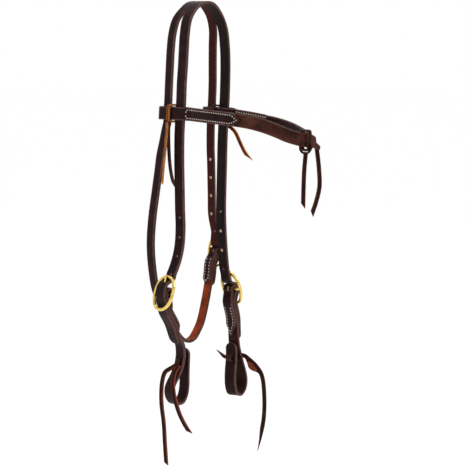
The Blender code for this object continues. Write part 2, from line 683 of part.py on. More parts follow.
def crown_strap(buckles, layers, finish):
    """The crown: one wide strap, slit at both ends into front and rear legs."""
    right, left, throat = buckles
    top = Vector((CHEEK_CENTRE, 0, LEATHER * CROWN_TOP_SHARE))
    right_down = leg_points(RIGHT, RIGHT_LEG_SHARES, CHEEK_CENTRE) + right.billet_above()
    left_down = leg_points(LEFT, LEFT_LEG_SHARES, CHEEK_CENTRE) + left.billet_above()
    right_tail = layers[0].beside(0.0, BILLET_TAIL, right.layer)
    left_tail = layers[1].beside(0.0, BILLET_TAIL, -left.layer)
    front = through(list(reversed(right_tail[::2])) + list(reversed(right_down)) + [top]
                    + left_down + left_tail[::2], fine=6)
    front_route = Route(front, (1, 0, 0))
    shift = Vector((-(CHEEK_WIDTH + THROAT_WIDTH) / 2, 0, 0))
    right_rear = Route(through([top + shift] + rear_points(RIGHT, RIGHT_REAR_SHARES)), (1, 0, 0))
    throat_tail = layers[2].beside(0.0, THROAT_TAIL, -throat.layer)
    left_rear = Route(through([top + shift] + rear_points(LEFT, LEFT_REAR_SHARES)
                              + throat.billet_above() + throat_tail[::2], fine=6), (1, 0, 0))

    middle = min(range(len(front)), key=lambda i: (front[i] - top).length)
    crest = front_route.marks[middle]
    right_slit, left_slit = crest - RIGHT_SLIT_START, crest + LEFT_SLIT_START
    tip = CHEEK_WIDTH / 2
    ends = [share[0] * tip for share in ROUND_END_SHARES]
    total = front_route.length
    before = [p for p in front_route.stations(0.0, right_slit) if p > tip][:-1]
    wide = front_route.stations(right_slit, left_slit, RING_STEP / 2)
    after = [p for p in front_route.stations(left_slit, total) if p < total - tip][1:]
    places = ends + before + wide + after + [total - end for end in reversed(ends)]

    shape = bmesh.new()

    def leg_ring(frame, half_out, half_in, sign):
        """Four rounded points on the outer edge, two sharp ones on the slit's edge."""
        point, _, across, normal = frame
        half = LEATHER / 2
        corner = min(LEATHER_ROUNDING, half_out * 0.6)
        pairs = ((half_out - corner, -half), (half_out, corner - half),
                 (half_out, half - corner), (half_out - corner, half),
                 (-half_in, half), (-half_in, -half))
        return [point + across * a * sign + normal * b for a, b in pairs]

    front_rings = []
    for place in places:
        share = min(end_width(ROUND_END_SHARES, tip, place)[0],
                    end_width(ROUND_END_SHARES, tip, total - place)[0])
        half = CHEEK_WIDTH / 2 * share
        ring = leg_ring(front_route.frame(place), half, half, 1)
        front_rings.append([shape.verts.new(point) for point in ring])
    split_low, split_high = places.index(wide[0]), places.index(wide[-1])
    for index, (first, second) in enumerate(zip(front_rings, front_rings[1:])):
        join_rings(shape, first, second, 4 if split_low <= index < split_high else None)
    shape.faces.new(front_rings[0])
    shape.faces.new(front_rings[-1])

    rear_wide = []
    for index in range(split_low, split_high + 1):
        point, along, across, normal = front_route.frame(places[index])
        ring = leg_ring((point + shift, along, across, normal), THROAT_WIDTH / 2,
                        THROAT_WIDTH / 2, -1)
        made = [shape.verts.new(corner) for corner in ring[:4]]
        rear_wide.append(made + front_rings[index][4:])
    for first, second in zip(rear_wide, rear_wide[1:]):
        join_rings(shape, first, second, 4)
    for start_ring, route, slit, shares in ((rear_wide[0], right_rear, RIGHT_SLIT_START, None),
                                            (rear_wide[-1], left_rear, LEFT_SLIT_START,
                                             ROUND_END_SHARES)):
        stations = route.stations(slit, route.length)[1:]
        tip = THROAT_WIDTH / 2
        if shares:
            stations = [p for p in stations if p < route.length - tip]
            stations += [route.length - share[0] * tip for share in reversed(shares)]
        ring = start_ring
        turned = -1 if route is right_rear else 1
        for place in stations:
            share = end_width(shares, tip, route.length - place)[0]
            half = THROAT_WIDTH / 2 * share
            point, along, across, normal = route.frame(place)
            normal = normal * turned
            following = [shape.verts.new(corner) for corner in
                         leg_ring((point, along, across, normal), half, half, -1)]
            join_rings(shape, ring, following)
            ring = following
        shape.faces.new(ring)
    strap = add_object("crown_strap", shape, finish)

    billet_bar = front_route.length - BILLET_TAIL
    hole_places = []
    for bar_place, step in ((BILLET_TAIL, 1), (billet_bar, -1)):
        for number in range(-1, CHEEK_HOLES - 1):
            if number == 0:
                continue
            hole_places.append(bar_place + step * HOLE_PITCH * (number + HOLE_START_SHARE))
    cut(strap, "billet_holes", hole_punch(front_route, hole_places, HOLE_DIAMETER, LEATHER))
    throat_places = [left_rear.length - THROAT_TAIL - THROAT_HOLE_PITCH * (n + HOLE_START_SHARE)
                     for n in range(-1, THROAT_HOLES - 1) if n]
    cut(strap, "throat_billet_holes",
        hole_punch(left_rear, throat_places, HOLE_DIAMETER, LEATHER))
    for buckle, name in ((right, "right_tongue_way"), (left, "left_tongue_way"),
                         (throat, "throat_tongue_way")):
        cut(strap, name, prism(buckle.tongue_slot(), (1, 0, 0),
                               buckle.tongue / 2 + TONGUE_CLEARANCE))
    return strap


def tongue_gap(buckle):
    """The slot cut through a chape's fold, where the tongue sits on the bar."""
    low, high = -buckle.fold * 1.9, buckle.fold * 2.2
    inner, outer = -buckle.fold * 2.4, buckle.fold * 2.0
    pairs = ((inner, low), (outer, low), (outer, high), (inner, high))
    outline = [buckle.bar_middle + buckle.outward * out + buckle.upward * up
               for out, up in pairs]
    return prism(outline, (1, 0, 0), buckle.tongue / 2 + TONGUE_CLEARANCE)


def chape_route(buckle, layer, length):
    """The folded end: up the inner side, over the bar, then the strap's own layer."""
    sign = 1 if buckle.side == LEFT else -1
    lower = layer.beside(buckle.half_height * 0.85, length, sign * buckle.layer, 16)
    inner_side = buckle.bar_middle - buckle.outward * buckle.fold
    upper = [inner_side - buckle.upward * buckle.fold * share for share in (0.6, 0.0)]
    chape = through(list(reversed(lower)) + upper, fine=5)
    return chape + buckle.fold_points() + layer.points


def cheek_layer(buckle, shares):
    points = buckle.strap_below() + [
        Vector((buckle.x, buckle.side * out * CHEEK_REACH, buckle.middle.z - down * CHEEK_DROP))
        for out, down in shares]
    return Route(through(points, fine=8), (1, 0, 0))


def cheek_strap(name, buckle, layer, finish):
    """Chape, buckle fold, strap and bit loop, in one length of leather."""
    length = CHAPE_LENGTH + CHAPE_POINT
    route = Route(chape_route(buckle, layer, length), (1, 0, 0))
    strap = ribbon(name, route, CHEEK_WIDTH, finish, start=(CHAPE_END_SHARES, CHAPE_POINT),
                   end=(ROUND_END_SHARES, CHEEK_WIDTH / 2), step=RING_STEP * 0.6,
                   turn=RING_TURN * 0.7)
    cut(strap, name + "_tongue_slot", tongue_gap(buckle))
    return strap, route


def chape_stitches(name, buckle, layer, length, point, width, finish):
    """Two rows on the folded end's face, drawing together down to its tip."""
    sign = -1 if buckle.side == RIGHT else 1
    inner = Route(layer.beside(buckle.half_height, length + point, sign * buckle.layer, 40),
                  (1, 0, 0))
    normal_in = inner.frame(inner.length / 2)[3]
    side = -1 if normal_in.y * buckle.side > 0 else 1
    path = stitch_path(inner, STITCH_PITCH, inner.length - STITCH_INSET * 1.4, width / 2,
                       LEATHER / 2 * side, side, point * 1.3)
    stitch_line(name, path, (0, -buckle.side, 0), finish)


def brow_knot(paths, finish):
    """The wrap round both ends at the middle, the ring before it and the two tails."""
    layer = paths["browband_right_half"][0]
    rear = paths["browband_left_half"][0]
    place = next(mark for mark, point in zip(layer.marks, layer.points)
                 if point.y > 0 and point.x > BROW_REACH * 0.9)
    point, _, _, normal = layer.frame(place)
    wide = Vector((0, 0, 1))
    forward = Vector((normal.x, normal.y, 0)).normalized()
    forward = forward if forward.x > 0 else -forward
    behind = min(rear.points, key=lambda other: (other - point).length)
    depth = (point - behind).dot(forward) / 2
    centre = point - forward * depth
    deep = depth + LEATHER / 2 + KNOT_EASE + THONG_THICKNESS / 2
    tall = BROW_WIDTH / 2 + KNOT_EASE + THONG_THICKNESS / 2
    side = forward.cross(wide)
    closed_strand("brow_knot_wrap",
                  rounded_loop(centre, forward, wide, deep, tall, THONG_THICKNESS),
                  side, KNOT_WRAP_WIDTH, finish)
    front = centre + forward * (deep + THONG_THICKNESS + SEAT_GAP * 2)
    across = forward.cross(wide)
    ring_centre = front - wide * tall * 0.62 + across * KNOT_RING_SHIFT
    points = []
    turns = 20
    for number in range(turns):
        angle = math.tau * number / turns
        points.append(ring_centre + across * KNOT_RING_RADIUS * math.cos(angle)
                      + wide * KNOT_RING_RADIUS * 0.95 * math.sin(angle))
    shape = bmesh.new()
    rod(shape, Route(through(points, closed=True, fine=2), forward), THONG_THICKNESS * 0.55,
        sides=8, closed=True, turn=0.35)
    add_object("brow_knot_loop", shape, finish)
    low = THONG_THICKNESS * 0.55 + END_GAP
    root = ring_centre - wide * (KNOT_RING_RADIUS * 0.95 + low)
    free_end("knot_tail_right", root, TAIL_ONE_SHARES, TAIL_ONE, LEFT, (0.8, 0.6, 0),
             TAIL_WIDTH, finish)
    tip, _, wide_tip, _ = layer.frame(layer.length - NARROW_LENGTH * 0.3)
    drop = BROW_WIDTH / 2 * (1 - NARROW_SHARE * 0.7) + END_GAP * 1.8
    root = tip - Vector((0, 0, 1)) * drop
    free_end("knot_tail_left", root, TAIL_TWO_SHARES, TAIL_TWO, LEFT, (0.6, 0.8, 0),
             TAIL_WIDTH, finish)


def browband_half(name, side, shares, ear_out, ear_drop, lean, length, layer_paths, finish):
    """One half: stitched overlay, round both legs at the ear, then forward to the knot."""
    gap = LEATHER + EAR_CLEARANCE
    inner, outer = ear_out - gap, ear_out + gap
    turn = REAR_CENTRE - EAR_SET_BACK - THROAT_WIDTH / 2 - EAR_PLAY / 2
    legs_front = CHEEK_CENTRE + CHEEK_WIDTH / 2

    def spot(x, out, down=0.0):
        return Vector((x, side * out, -ear_drop - down))

    main_points = [spot(turn, inner), spot(turn * 0.5, inner), spot(0.0, inner),
                   spot(legs_front, inner)]
    main_points += [spot(x * BROW_REACH, out * BROW_BULGE, down * BROW_SAG)
                    for x, out, down in shares]
    main = through(main_points, fine=8)
    leaning = Vector((0, -side * math.tan(lean), 1))
    layer = Route(main, leaning, (0, 0, 1), (length, length + LEAN_FADE))
    sign = 1 if layer.frame(layer.length * 0.3)[3].y * side > 0 else -1
    joined = next(mark for mark, point in zip(layer.marks, layer.points)
                  if point.x > legs_front + OVERLAY_EASE)
    overlay = layer.beside(joined, length, sign * (LEATHER + LAYER_GAP), 30)
    ease = spot(legs_front + OVERLAY_EASE * 0.2, outer)
    around = [ease, spot(0.0, outer), spot(turn * 0.5, outer), spot(turn, outer)]
    centre = spot(turn, ear_out)
    for number in range(1, 6):
        angle = math.pi * number / 6
        around.append(centre + Vector((-gap * math.sin(angle), side * gap * math.cos(angle), 0)))
    start = through(list(reversed(overlay))[::3] + around, fine=6)
    whole = start + layer.points
    rest = 0.0
    for first, second in zip(start, start[1:] + layer.points[:1]):
        rest += (second - first).length
    route = Route(whole, leaning, (0, 0, 1),
                  (rest + length, rest + length + LEAN_FADE))

    narrow = NARROW_LENGTH / route.length

    def widths(share):
        return 1.0 if share < 1 - narrow else 1.0 - NARROW_SHARE * (share - 1 + narrow) / narrow

    band = ribbon(name, route, BROW_WIDTH, finish, start=(POINT_END_SHARES, OVERLAY_POINT),
                  widths=widths, step=RING_STEP * 0.8)
    layer_paths[name] = (layer, sign, joined, length)
    return band


def brow_stitches(name, layer, sign, joined, length, finish):
    """Thread round the overlay on its outer face, and down the two edges of the inner face."""
    low, high = joined + STITCH_INSET, length - STITCH_INSET * 1.6
    lift = LEATHER * 1.5 + LAYER_GAP
    facing = (0, layer.frame(low)[3].y * sign, 0)
    outer = stitch_path(layer, low, high, BROW_WIDTH / 2, lift * sign, sign, OVERLAY_POINT)
    stitch_line(name + "_outer_stitches", outer, facing, finish, closed=True)
    inner = stitch_path(layer, low, high, BROW_WIDTH / 2, -LEATHER / 2 * sign, -sign,
                        OVERLAY_POINT)
    stitch_line(name + "_inner_stitches", inner, facing, finish)


def rounded_loop(centre, first, second, half_first, half_second, radius):
    """A closed path: a rectangle with round corners, spanned by two directions."""
    points = []
    corners = ((1, 1, 0), (-1, 1, 90), (-1, -1, 180), (1, -1, 270))
    for a, b, start in corners:
        for step in range(4):
            angle = math.radians(start + 30 * step)
            points.append(centre + first * (a * (half_first - radius) + radius * math.cos(angle))
                          + second * (b * (half_second - radius) + radius * math.sin(angle)))
    points.append(points[0].copy())
    return points


def closed_strand(name, points, across, width, finish, thickness=THONG_THICKNESS):
    route = Route(points, across)
    return ribbon(name, route, width, finish, thickness, THONG_ROUNDING, closed=True,
                  turn=0.5)


def ear_thong(name, side, ear_out, ear_drop, x, lean, finish):
    """The thong tied round both layers of the browband, between the two legs."""
    up = Vector((0, -side * math.sin(lean), math.cos(lean)))
    out = Vector((0, side * math.cos(lean), math.sin(lean)))
    tall = BROW_WIDTH / 2 + SEAT_GAP * 2 + THONG_THICKNESS / 2
    deep = LEATHER * 1.5 + EAR_CLEARANCE + SEAT_GAP * 4 + THONG_THICKNESS / 2
    centre = Vector((x, side * ear_out, -ear_drop))
    closed_strand(name, rounded_loop(centre, out, up, deep, tall, THONG_THICKNESS), (1, 0, 0),
                  EAR_THONG_WIDTH, finish)
    return centre + out * deep - up * (tall + THONG_THICKNESS / 2 + END_GAP)


def free_end(name, root, path, length, side, across, width, finish, tip=SLANT_END_SHARES):
    """A hanging end of a thong: forward, out and down from its root, as shares of its reach."""
    points = [root + Vector((x, side * out, -down)) * length for x, out, down in path]
    route = Route(through(points, fine=8), across)
    return ribbon(name, route, width, finish, THONG_THICKNESS, THONG_ROUNDING,
                  end=(tip, width * 1.4), step=RING_STEP, turn=0.3)


def crossing(route, height, low, high):
    """The distance along a route where it passes a height, between two distances."""
    for index in range(len(route.marks) - 1):
        first, second = route.points[index].z - height, route.points[index + 1].z - height
        if low <= route.marks[index] <= high and first * second <= 0:
            return route.marks[index]
    return (low + high) / 2


def bit_thong(name, side, buckle, route, fold, finish, straps):
    """The thong that ties a bit loop shut, through two slots in both layers."""
    height = buckle.middle.z - BIT_TIE_DROP
    bottom = min(range(len(route.points)), key=lambda i: route.points[i].z)
    middle = route.marks[bottom]
    places = []
    for shift in (BIT_TIE_SPACING / 2, -BIT_TIE_SPACING / 2):
        outer = route.frame(crossing(route, height + shift, fold, middle))
        inner = route.frame(crossing(route, height + shift, middle, route.length))
        places.append((outer, inner))
    clear = LEATHER / 2 + SEAT_GAP * 2 + THONG_THICKNESS / 2
    corners = []
    for index, (outer, inner) in enumerate(places):
        lean_out = clear / max(abs(outer[3].y), 0.6)
        lean_in = clear / max(abs(inner[3].y), 0.6)
        corners.append((outer[0] + Vector((0, side * lean_out, 0)),
                        inner[0] - Vector((0, side * lean_in, 0))))
    (top_out, top_in), (low_out, low_in) = corners
    radius = THONG_THICKNESS * 0.8
    points = []
    order = (top_out, top_in, low_in, low_out)
    for index, corner in enumerate(order):
        before, after = order[index - 1], order[(index + 1) % 4]
        start = corner + (before - corner).normalized() * radius
        end = corner + (after - corner).normalized() * radius
        points.append(start)
        points.append(start.lerp(end, 0.5).lerp(corner, 0.45))
        points.append(end)
    points.append(points[0].copy())
    closed_strand(name, points, (1, 0, 0), THONG_WIDTH, finish)
    for index, (outer, inner) in enumerate(places):
        half = THONG_THICKNESS / 2 + SEAT_GAP * 2.2
        reach = THONG_THICKNESS * 2
        near = outer[0].y + side * reach
        far = inner[0].y - side * reach
        outline = [Vector((0, near, outer[0].z - half)), Vector((0, far, inner[0].z - half)),
                   Vector((0, far, inner[0].z + half)), Vector((0, near, outer[0].z + half))]
        outline = [point + Vector((CHEEK_CENTRE, 0, 0)) for point in outline]
        cut(straps, name + "_slot_" + str(index),
            prism(outline, (1, 0, 0), THONG_WIDTH / 2 + SEAT_GAP * 1.6))
    return top_out, low_out, top_in, low_in


def main():
    for old in list(bpy.data.objects):
        bpy.data.objects.remove(old, do_unlink=True)
    dark = material("oiled leather", 0.035, 0.013, 0.012, 0.45)
    lace = material("thong leather", 0.045, 0.016, 0.013, 0.5)
    brass = material("brass", 0.75, 0.52, 0.16, 0.25, 1.0)
    thread = material("waxed thread", 0.75, 0.70, 0.62, 0.7)

    cheek_sizes = (BUCKLE_WIDTH, BUCKLE_HEIGHT, BUCKLE_WIRE, BAR_DIAMETER, BAR_SETBACK,
                   TONGUE_DIAMETER)
    right = Buckle(RIGHT, CHEEK_CENTRE, RIGHT_BUCKLE_OUT, RIGHT_BUCKLE_DROP,
                   RIGHT_BUCKLE_LEAN, *cheek_sizes)
    left = Buckle(LEFT, CHEEK_CENTRE, LEFT_BUCKLE_OUT, LEFT_BUCKLE_DROP, LEFT_BUCKLE_LEAN,
                  *cheek_sizes)
    throat = Buckle(LEFT, -THROAT_BUCKLE_BACK, THROAT_BUCKLE_OUT, THROAT_BUCKLE_DROP,
                    THROAT_BUCKLE_LEAN, THROAT_BUCKLE_WIDTH, THROAT_BUCKLE_HEIGHT, THROAT_WIRE,
                    THROAT_BAR, THROAT_SETBACK, THROAT_TONGUE)

    right_layer = cheek_layer(right, RIGHT_CHEEK_SHARES)
    left_layer = cheek_layer(left, LEFT_CHEEK_SHARES)
    throat_points = throat.strap_below() + [
        Vector((-back * THROAT_BUCKLE_BACK, out * THROAT_REACH, -down * THROAT_DROP))
        for back, out, down in THROAT_SHARES]
    throat_layer = Route(through(throat_points, fine=8), (1, 0, 0))

    crown_strap((right, left, throat), (right_layer, left_layer, throat_layer), dark)

    for name, buckle, layer in (("right_cheek", right, right_layer),
                                ("left_cheek", left, left_layer)):
        strap, route = cheek_strap(name + "_strap", buckle, layer, dark)
        fold = route.length - layer.length
        side = buckle.side
        thong = name.replace("cheek", "bit") + "_thong"
        top_out, low_out, top_in, low_in = bit_thong(thong, side, buckle, route, fold, lace,
                                                     strap)
        if side == RIGHT:
            drop = THONG_THICKNESS / 2 + END_GAP
            root = low_out + Vector((THONG_WIDTH * 0.55, side * THONG_THICKNESS * 0.4, -drop))
            free_end(thong + "_front_end", root, RIGHT_FRONT_END_SHARES, RIGHT_FRONT_END,
                     side, (1, 0.2, 0), THONG_WIDTH, lace)
            root = low_out + Vector((-THONG_WIDTH * 0.55, side * THONG_THICKNESS * 0.4, -drop))
            free_end(thong + "_rear_end", root, RIGHT_REAR_END_SHARES, RIGHT_REAR_END,
                     side, (1, 0.2, 0), THONG_WIDTH, lace)
        else:
            half = THONG_WIDTH / 2 + END_GAP
            root = top_out.lerp(low_out, 0.5) + Vector((half, THONG_THICKNESS * 0.8, 0))
            free_end(thong + "_long_end", root, LEFT_LONG_END_SHARES, LEFT_LONG_END,
                     side, (0.5, 0.5, 0.7), THONG_WIDTH, lace)
            root = top_in.lerp(low_in, 0.5) - Vector((half, 0, 0))
            free_end(thong + "_short_end", root, LEFT_SHORT_END_SHARES, LEFT_SHORT_END,
                     side, (0, 0, 1), THONG_WIDTH * 0.8, lace, POINT_END_SHARES)
        chape_stitches(name + "_stitches", buckle, layer, CHAPE_LENGTH, CHAPE_POINT,
                       CHEEK_WIDTH, thread)

    throat_route = Route(chape_route(throat, throat_layer,
                                     THROAT_CHAPE_LENGTH + THROAT_CHAPE_POINT), (1, 0, 0))
    strap = ribbon("throat_strap", throat_route, THROAT_WIDTH, dark,
                   start=(CHAPE_END_SHARES, THROAT_CHAPE_POINT))
    cut(strap, "throat_strap_tongue_slot", tongue_gap(throat))
    chape_stitches("throat_stitches", throat, throat_layer, THROAT_CHAPE_LENGTH,
                   THROAT_CHAPE_POINT, THROAT_WIDTH, thread)

    for side, buckle in (("right_cheek", right), ("left_cheek", left), ("throat", throat)):
        buckle_frame(side + "_buckle_frame", buckle, brass)
        buckle_tongue(side + "_buckle_tongue", buckle, brass)

    paths = {}
    browband_half("browband_right_half", RIGHT, RIGHT_BROW_SHARES, RIGHT_EAR_OUT,
                  RIGHT_EAR_DROP, RIGHT_EAR_LEAN, RIGHT_OVERLAY_LENGTH, paths, dark)
    browband_half("browband_left_half", LEFT, LEFT_BROW_SHARES, LEFT_EAR_OUT,
                  LEFT_EAR_DROP, LEFT_EAR_LEAN, LEFT_OVERLAY_LENGTH, paths, dark)
    for half in ("right", "left"):
        brow_stitches("browband_" + half, *paths["browband_" + half + "_half"], thread)

    root = ear_thong("right_ear_thong", RIGHT, RIGHT_EAR_OUT, RIGHT_EAR_DROP, -EAR_THONG_BACK,
                     RIGHT_EAR_LEAN, lace)
    free_end("right_ear_thong_outer_end", root + Vector((0, -EAR_END_GAP * 0.5, 0)),
             EAR_OUTER_END_SHARES, EAR_OUTER_END, RIGHT, (1, -0.4, 0), EAR_THONG_WIDTH, lace)
    free_end("right_ear_thong_inner_end", root + Vector((0, EAR_END_GAP * 0.5, 0)),
             EAR_INNER_END_SHARES, EAR_INNER_END, RIGHT, (1, 0, 0), EAR_THONG_WIDTH, lace)
    root = ear_thong("left_ear_thong", LEFT, LEFT_EAR_OUT, LEFT_EAR_DROP, -LEFT_EAR_THONG_BACK,
                     LEFT_EAR_LEAN, lace)
    root += Vector((EAR_THONG_WIDTH * 0.3, 0, -EAR_THONG_WIDTH * 0.2))
    free_end("left_ear_thong_end", root, EAR_LEFT_END_SHARES, EAR_LEFT_END, LEFT,
             (0.6, 0.3, 0.7), EAR_THONG_WIDTH, lace, POINT_END_SHARES)

    brow_knot(paths, lace)


main()
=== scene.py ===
"""A western headstall of oiled bridle leather with brass buckles, hung by its crown.

Every strap is cut and punched flat, as at a leather bench, and then laid along its way. Flat
lengths are in millimetres: along the strap, across it, and up from the middle of its thickness.
Places in the world are in millimetres too, forward, to the left and up from the poll.
"""

import json
import math

import bmesh
import bpy
import numpy as np
from mathutils import Matrix, Vector


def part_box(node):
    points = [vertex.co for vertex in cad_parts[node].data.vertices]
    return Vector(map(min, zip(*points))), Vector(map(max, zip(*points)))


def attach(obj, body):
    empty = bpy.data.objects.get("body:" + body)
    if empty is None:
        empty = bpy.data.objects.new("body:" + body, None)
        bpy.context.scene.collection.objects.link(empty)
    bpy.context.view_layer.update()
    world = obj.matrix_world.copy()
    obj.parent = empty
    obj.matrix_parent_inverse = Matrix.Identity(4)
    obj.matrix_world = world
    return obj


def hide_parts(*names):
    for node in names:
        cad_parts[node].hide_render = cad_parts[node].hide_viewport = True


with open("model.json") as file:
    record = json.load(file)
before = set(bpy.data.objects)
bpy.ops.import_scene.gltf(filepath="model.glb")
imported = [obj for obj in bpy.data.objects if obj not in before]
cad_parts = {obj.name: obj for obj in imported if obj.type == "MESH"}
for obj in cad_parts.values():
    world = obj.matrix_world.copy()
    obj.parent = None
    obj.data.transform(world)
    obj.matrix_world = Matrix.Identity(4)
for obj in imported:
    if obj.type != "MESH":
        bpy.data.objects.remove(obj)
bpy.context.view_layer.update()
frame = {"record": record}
BODY_OF = {node: body for body, nodes in frame["record"]["behaviour"]["bodies"].items()
           for node in nodes}

MM = 0.001

# Camera
CAMERA_PLACE = (1.88112, -1.81958, 0.00029)
CAMERA_AIM = (0.05446, 0.00708, -0.29403)
CAMERA_LENS = 155.6
CAMERA_SENSOR = 36

# Stage, in metres: each lamp's place, size and power
FLOOR_SIZE = 30
FLOOR_DROP = 0.95
LAMP_AIM = (0, 0, -0.3)
LAMPS = (("key", (1.2, 0.9, 0.7), 0.7, 12),
         ("left_fill", (0.4, -2.0, 0.2), 1.0, 0.3),
         ("top", (-0.3, 0.2, 1.4), 0.9, 8))

# Leather, in millimetres
LEATHER = 3.6
THONG = 2.6
CHEEK_WIDTH = 16.5
REAR_WIDTH = 13.2
BROW_WIDTH = 16.8
BIT_THONG_WIDTH = 5.6
SHORT_THONG_WIDTH = 4.4
EAR_THONG_WIDTH = 4.5
KNOT_WIDTH = 6.4
TAIL_WIDTH = 5.4
EDGE_ROUND = 1.0
THONG_ROUND = 0.6
LAYER_GAP = 0.6
SEAT_GAP = 0.35
BAR_GAP = 0.5
FRAME_PLAY = 0.8
END_GAP = 0.7
SLIT_GAP = 0.3

# Holes and slots: a slot goes from low to high along the strap, and is so wide
HOLE = 4.2
CUTTER = 9.0
CHEEK_SLOT = 3.9
THROAT_SLOT = 3.5
RIGHT_CHEEK_SLOTS = ((50.7, 82.9, CHEEK_SLOT), (173.9, 178.5, 7.5), (182.1, 186.6, 7.5),
                     (297.5, 301.3, 7.5), (305.1, 308.4, 7.5))
LEFT_CHEEK_SLOTS = ((53.3, 80.1, CHEEK_SLOT), (166.2, 169.4, 6.2), (174.5, 177.4, 6.2),
                    (278.2, 280.5, 6.0), (285.2, 288.9, 6.2))
THROAT_SLOTS = ((36.9, 61.1, THROAT_SLOT),)
RIGHT_BILLET_HOLES = (54.22, 106.18, 130.91, 155.64, 181.04)
LEFT_BILLET_HOLES = (889.93, 837.20, 811.80, 786.40, 761.00)
RIGHT_BILLET_SLOT = (82.0, 93.9)
LEFT_BILLET_SLOT = (860.7, 869.7)
# From the crest of the crown
THROAT_BILLET_HOLES = (365.77, 316.53, 292.73, 268.93, 245.13, 221.33)
THROAT_BILLET_SLOT = (337.7, 345.7)
EYELET = (14, 36, 5.0, -4.2)
EYELET_SWELL = 6.2
EYELET_EASE = 7
EYELET_FLOOR = 0.35
# The holes whose pale walls show, among the left billet's and the throat billet's
PALE_LEFT = slice(7, 9)
PALE_THROAT = slice(12, 16)
NARROW_SHARE = 0.42
SQUARE = ("square",)

# Thread: along, across and up, in millimetres
THREAD_INSET = 3.2
THREAD_PITCH = 3.9
THREAD_SIZE = (2.1, 1.3, 0.8)
THREAD_SLANT = 0.12
THREAD_PULL = 0.18
THREAD_LIFT = 0.12

# Which side of the head
RIGHT = -1
LEFT = 1

# Where the straps hang, in millimetres
CROWN_RIGHT = 28.0
CROWN_LEFT = 44.0
CHEEK_CENTRE = 6.4
REAR_ASIDE = 14.85
REAR_CENTRE = CHEEK_CENTRE - REAR_ASIDE
HALF_SPAN = 40.0
BAR_DROP = 366.0
REAR_SPREAD = 8.5
THROAT_BACK = 14.5
THROAT_REACH = 40.0
THROAT_DROP = 437.0
CHEEK_REACH = 40.0
CHEEK_DROP = 144.0
CROWN_TOP = np.array((CHEEK_CENTRE, 0, LEATHER / 2))
BILLET_TAIL = 72.0
THROAT_TAIL = 48.0
CHEEK_CHAPE = 66.0
THROAT_CHAPE = 48.0
BIT_TIE_DROP = 92.0
BIT_TIE_SPACING = 7.5
BIT_TIE_WIDTH = 6.4
BIT_TWIST = math.radians(14)
BIT_TWIST_FADE = (125, 165)
EAR_TIE_WIDTH = 4.8
# Each ear: out, down, lean, and how far back the thong is tied
RIGHT_EAR = (43.3, 138.6, math.radians(4.4), 6.0)
LEFT_EAR = (34.5, 142.0, math.radians(-4.7), 5.6)
EAR_CLEARANCE = 0.9
EAR_GAP = LEATHER + EAR_CLEARANCE
EAR_END_GAP = 3.4
EAR_BACK = 24.25
OVERLAY_EASE = 13.0
RIGHT_OVERLAY = 140.0
LEFT_OVERLAY = 109.0
BROW_REACH = 186.0
BROW_BULGE = 44.5
BROW_SAG = 24.5
LEAN_FADE = 50.0
NARROW_LENGTH = 16.0
KNOT_EASE = 2.2
KNOT_DEPTH = 8.1
KNOT_RING = 8.2
KNOT_RING_TALL = 7.8
KNOT_FORWARD = (0.9756, -0.2196, 0)

# Front legs of the crown: outward as shares of HALF_SPAN, down as shares of BAR_DROP
RIGHT_LEG_SHARES = (
    (0.30, 0.001), (0.575, 0.023), (0.775, 0.055), (0.875, 0.104), (0.925, 0.164), (0.963, 0.219),
    (1.013, 0.276), (1.038, 0.331), (1.088, 0.396), (1.125, 0.464), (1.133, 0.555), (1.113, 0.661),
    (1.105, 0.716), (1.08, 0.779), (1.08, 0.844), (1.14, 0.877))
LEFT_LEG_SHARES = (
    (0.25, 0.001), (0.55, 0.031), (0.813, 0.085), (0.913, 0.150), (0.938, 0.213), (0.925, 0.281),
    (0.90, 0.339), (0.855, 0.396), (0.825, 0.445), (0.795, 0.511), (0.78, 0.566), (0.745, 0.675),
    (0.735, 0.724), (0.755, 0.792), (0.80, 0.861))

# Rear legs: back as shares of REAR_SPREAD, then out and down as above
RIGHT_REAR_SHARES = (
    (0.0, 0.30, 0.001), (0.12, 0.575, 0.023), (0.55, 0.775, 0.055), (0.9, 0.875, 0.104),
    (1.06, 0.925, 0.164), (1.06, 0.963, 0.219), (1.0, 1.013, 0.276), (1.0, 1.043, 0.331),
    (1.01, 1.085, 0.388))
LEFT_REAR_SHARES = (
    (0.0, 0.25, 0.001), (0.0, 0.55, 0.031), (0.35, 0.813, 0.085), (0.85, 0.913, 0.150),
    (1.0, 0.938, 0.213), (0.95, 0.925, 0.281), (0.95, 0.90, 0.339), (0.95, 0.857, 0.396),
    (0.93, 0.83, 0.445), (0.88, 0.815, 0.511), (0.82, 0.825, 0.566), (0.82, 0.85, 0.675),
    (0.82, 0.87, 0.752))

# Throat strap past its chape: back, left and down as shares of THROAT_BACK, _REACH and _DROP
THROAT_SHARES = (
    (0.97, 0.712, 0.812), (0.95, 0.61, 0.848), (0.93, 0.51, 0.883), (0.92, 0.27, 0.949),
    (0.91, 0.10, 0.973), (0.90, -0.07, 0.991), (0.88, -0.26, 0.9985), (0.86, -0.46, 0.998),
    (0.86, -0.70, 0.984), (0.93, -1.0, 0.950), (1.07, -1.37, 0.892), (1.21, -1.63, 0.831),
    (1.31, -1.705, 0.787), (1.38, -1.74, 0.748), (1.41, -1.76, 0.711), (1.41, -1.75, 0.675),
    (1.38, -1.69, 0.618), (1.33, -1.57, 0.551), (1.25, -1.46, 0.485), (1.20, -1.395, 0.442),
    (1.16, -1.27, 0.398), (1.15, -1.165, 0.362), (1.145, -1.10, 0.343), (1.14, -1.087, 0.3265))

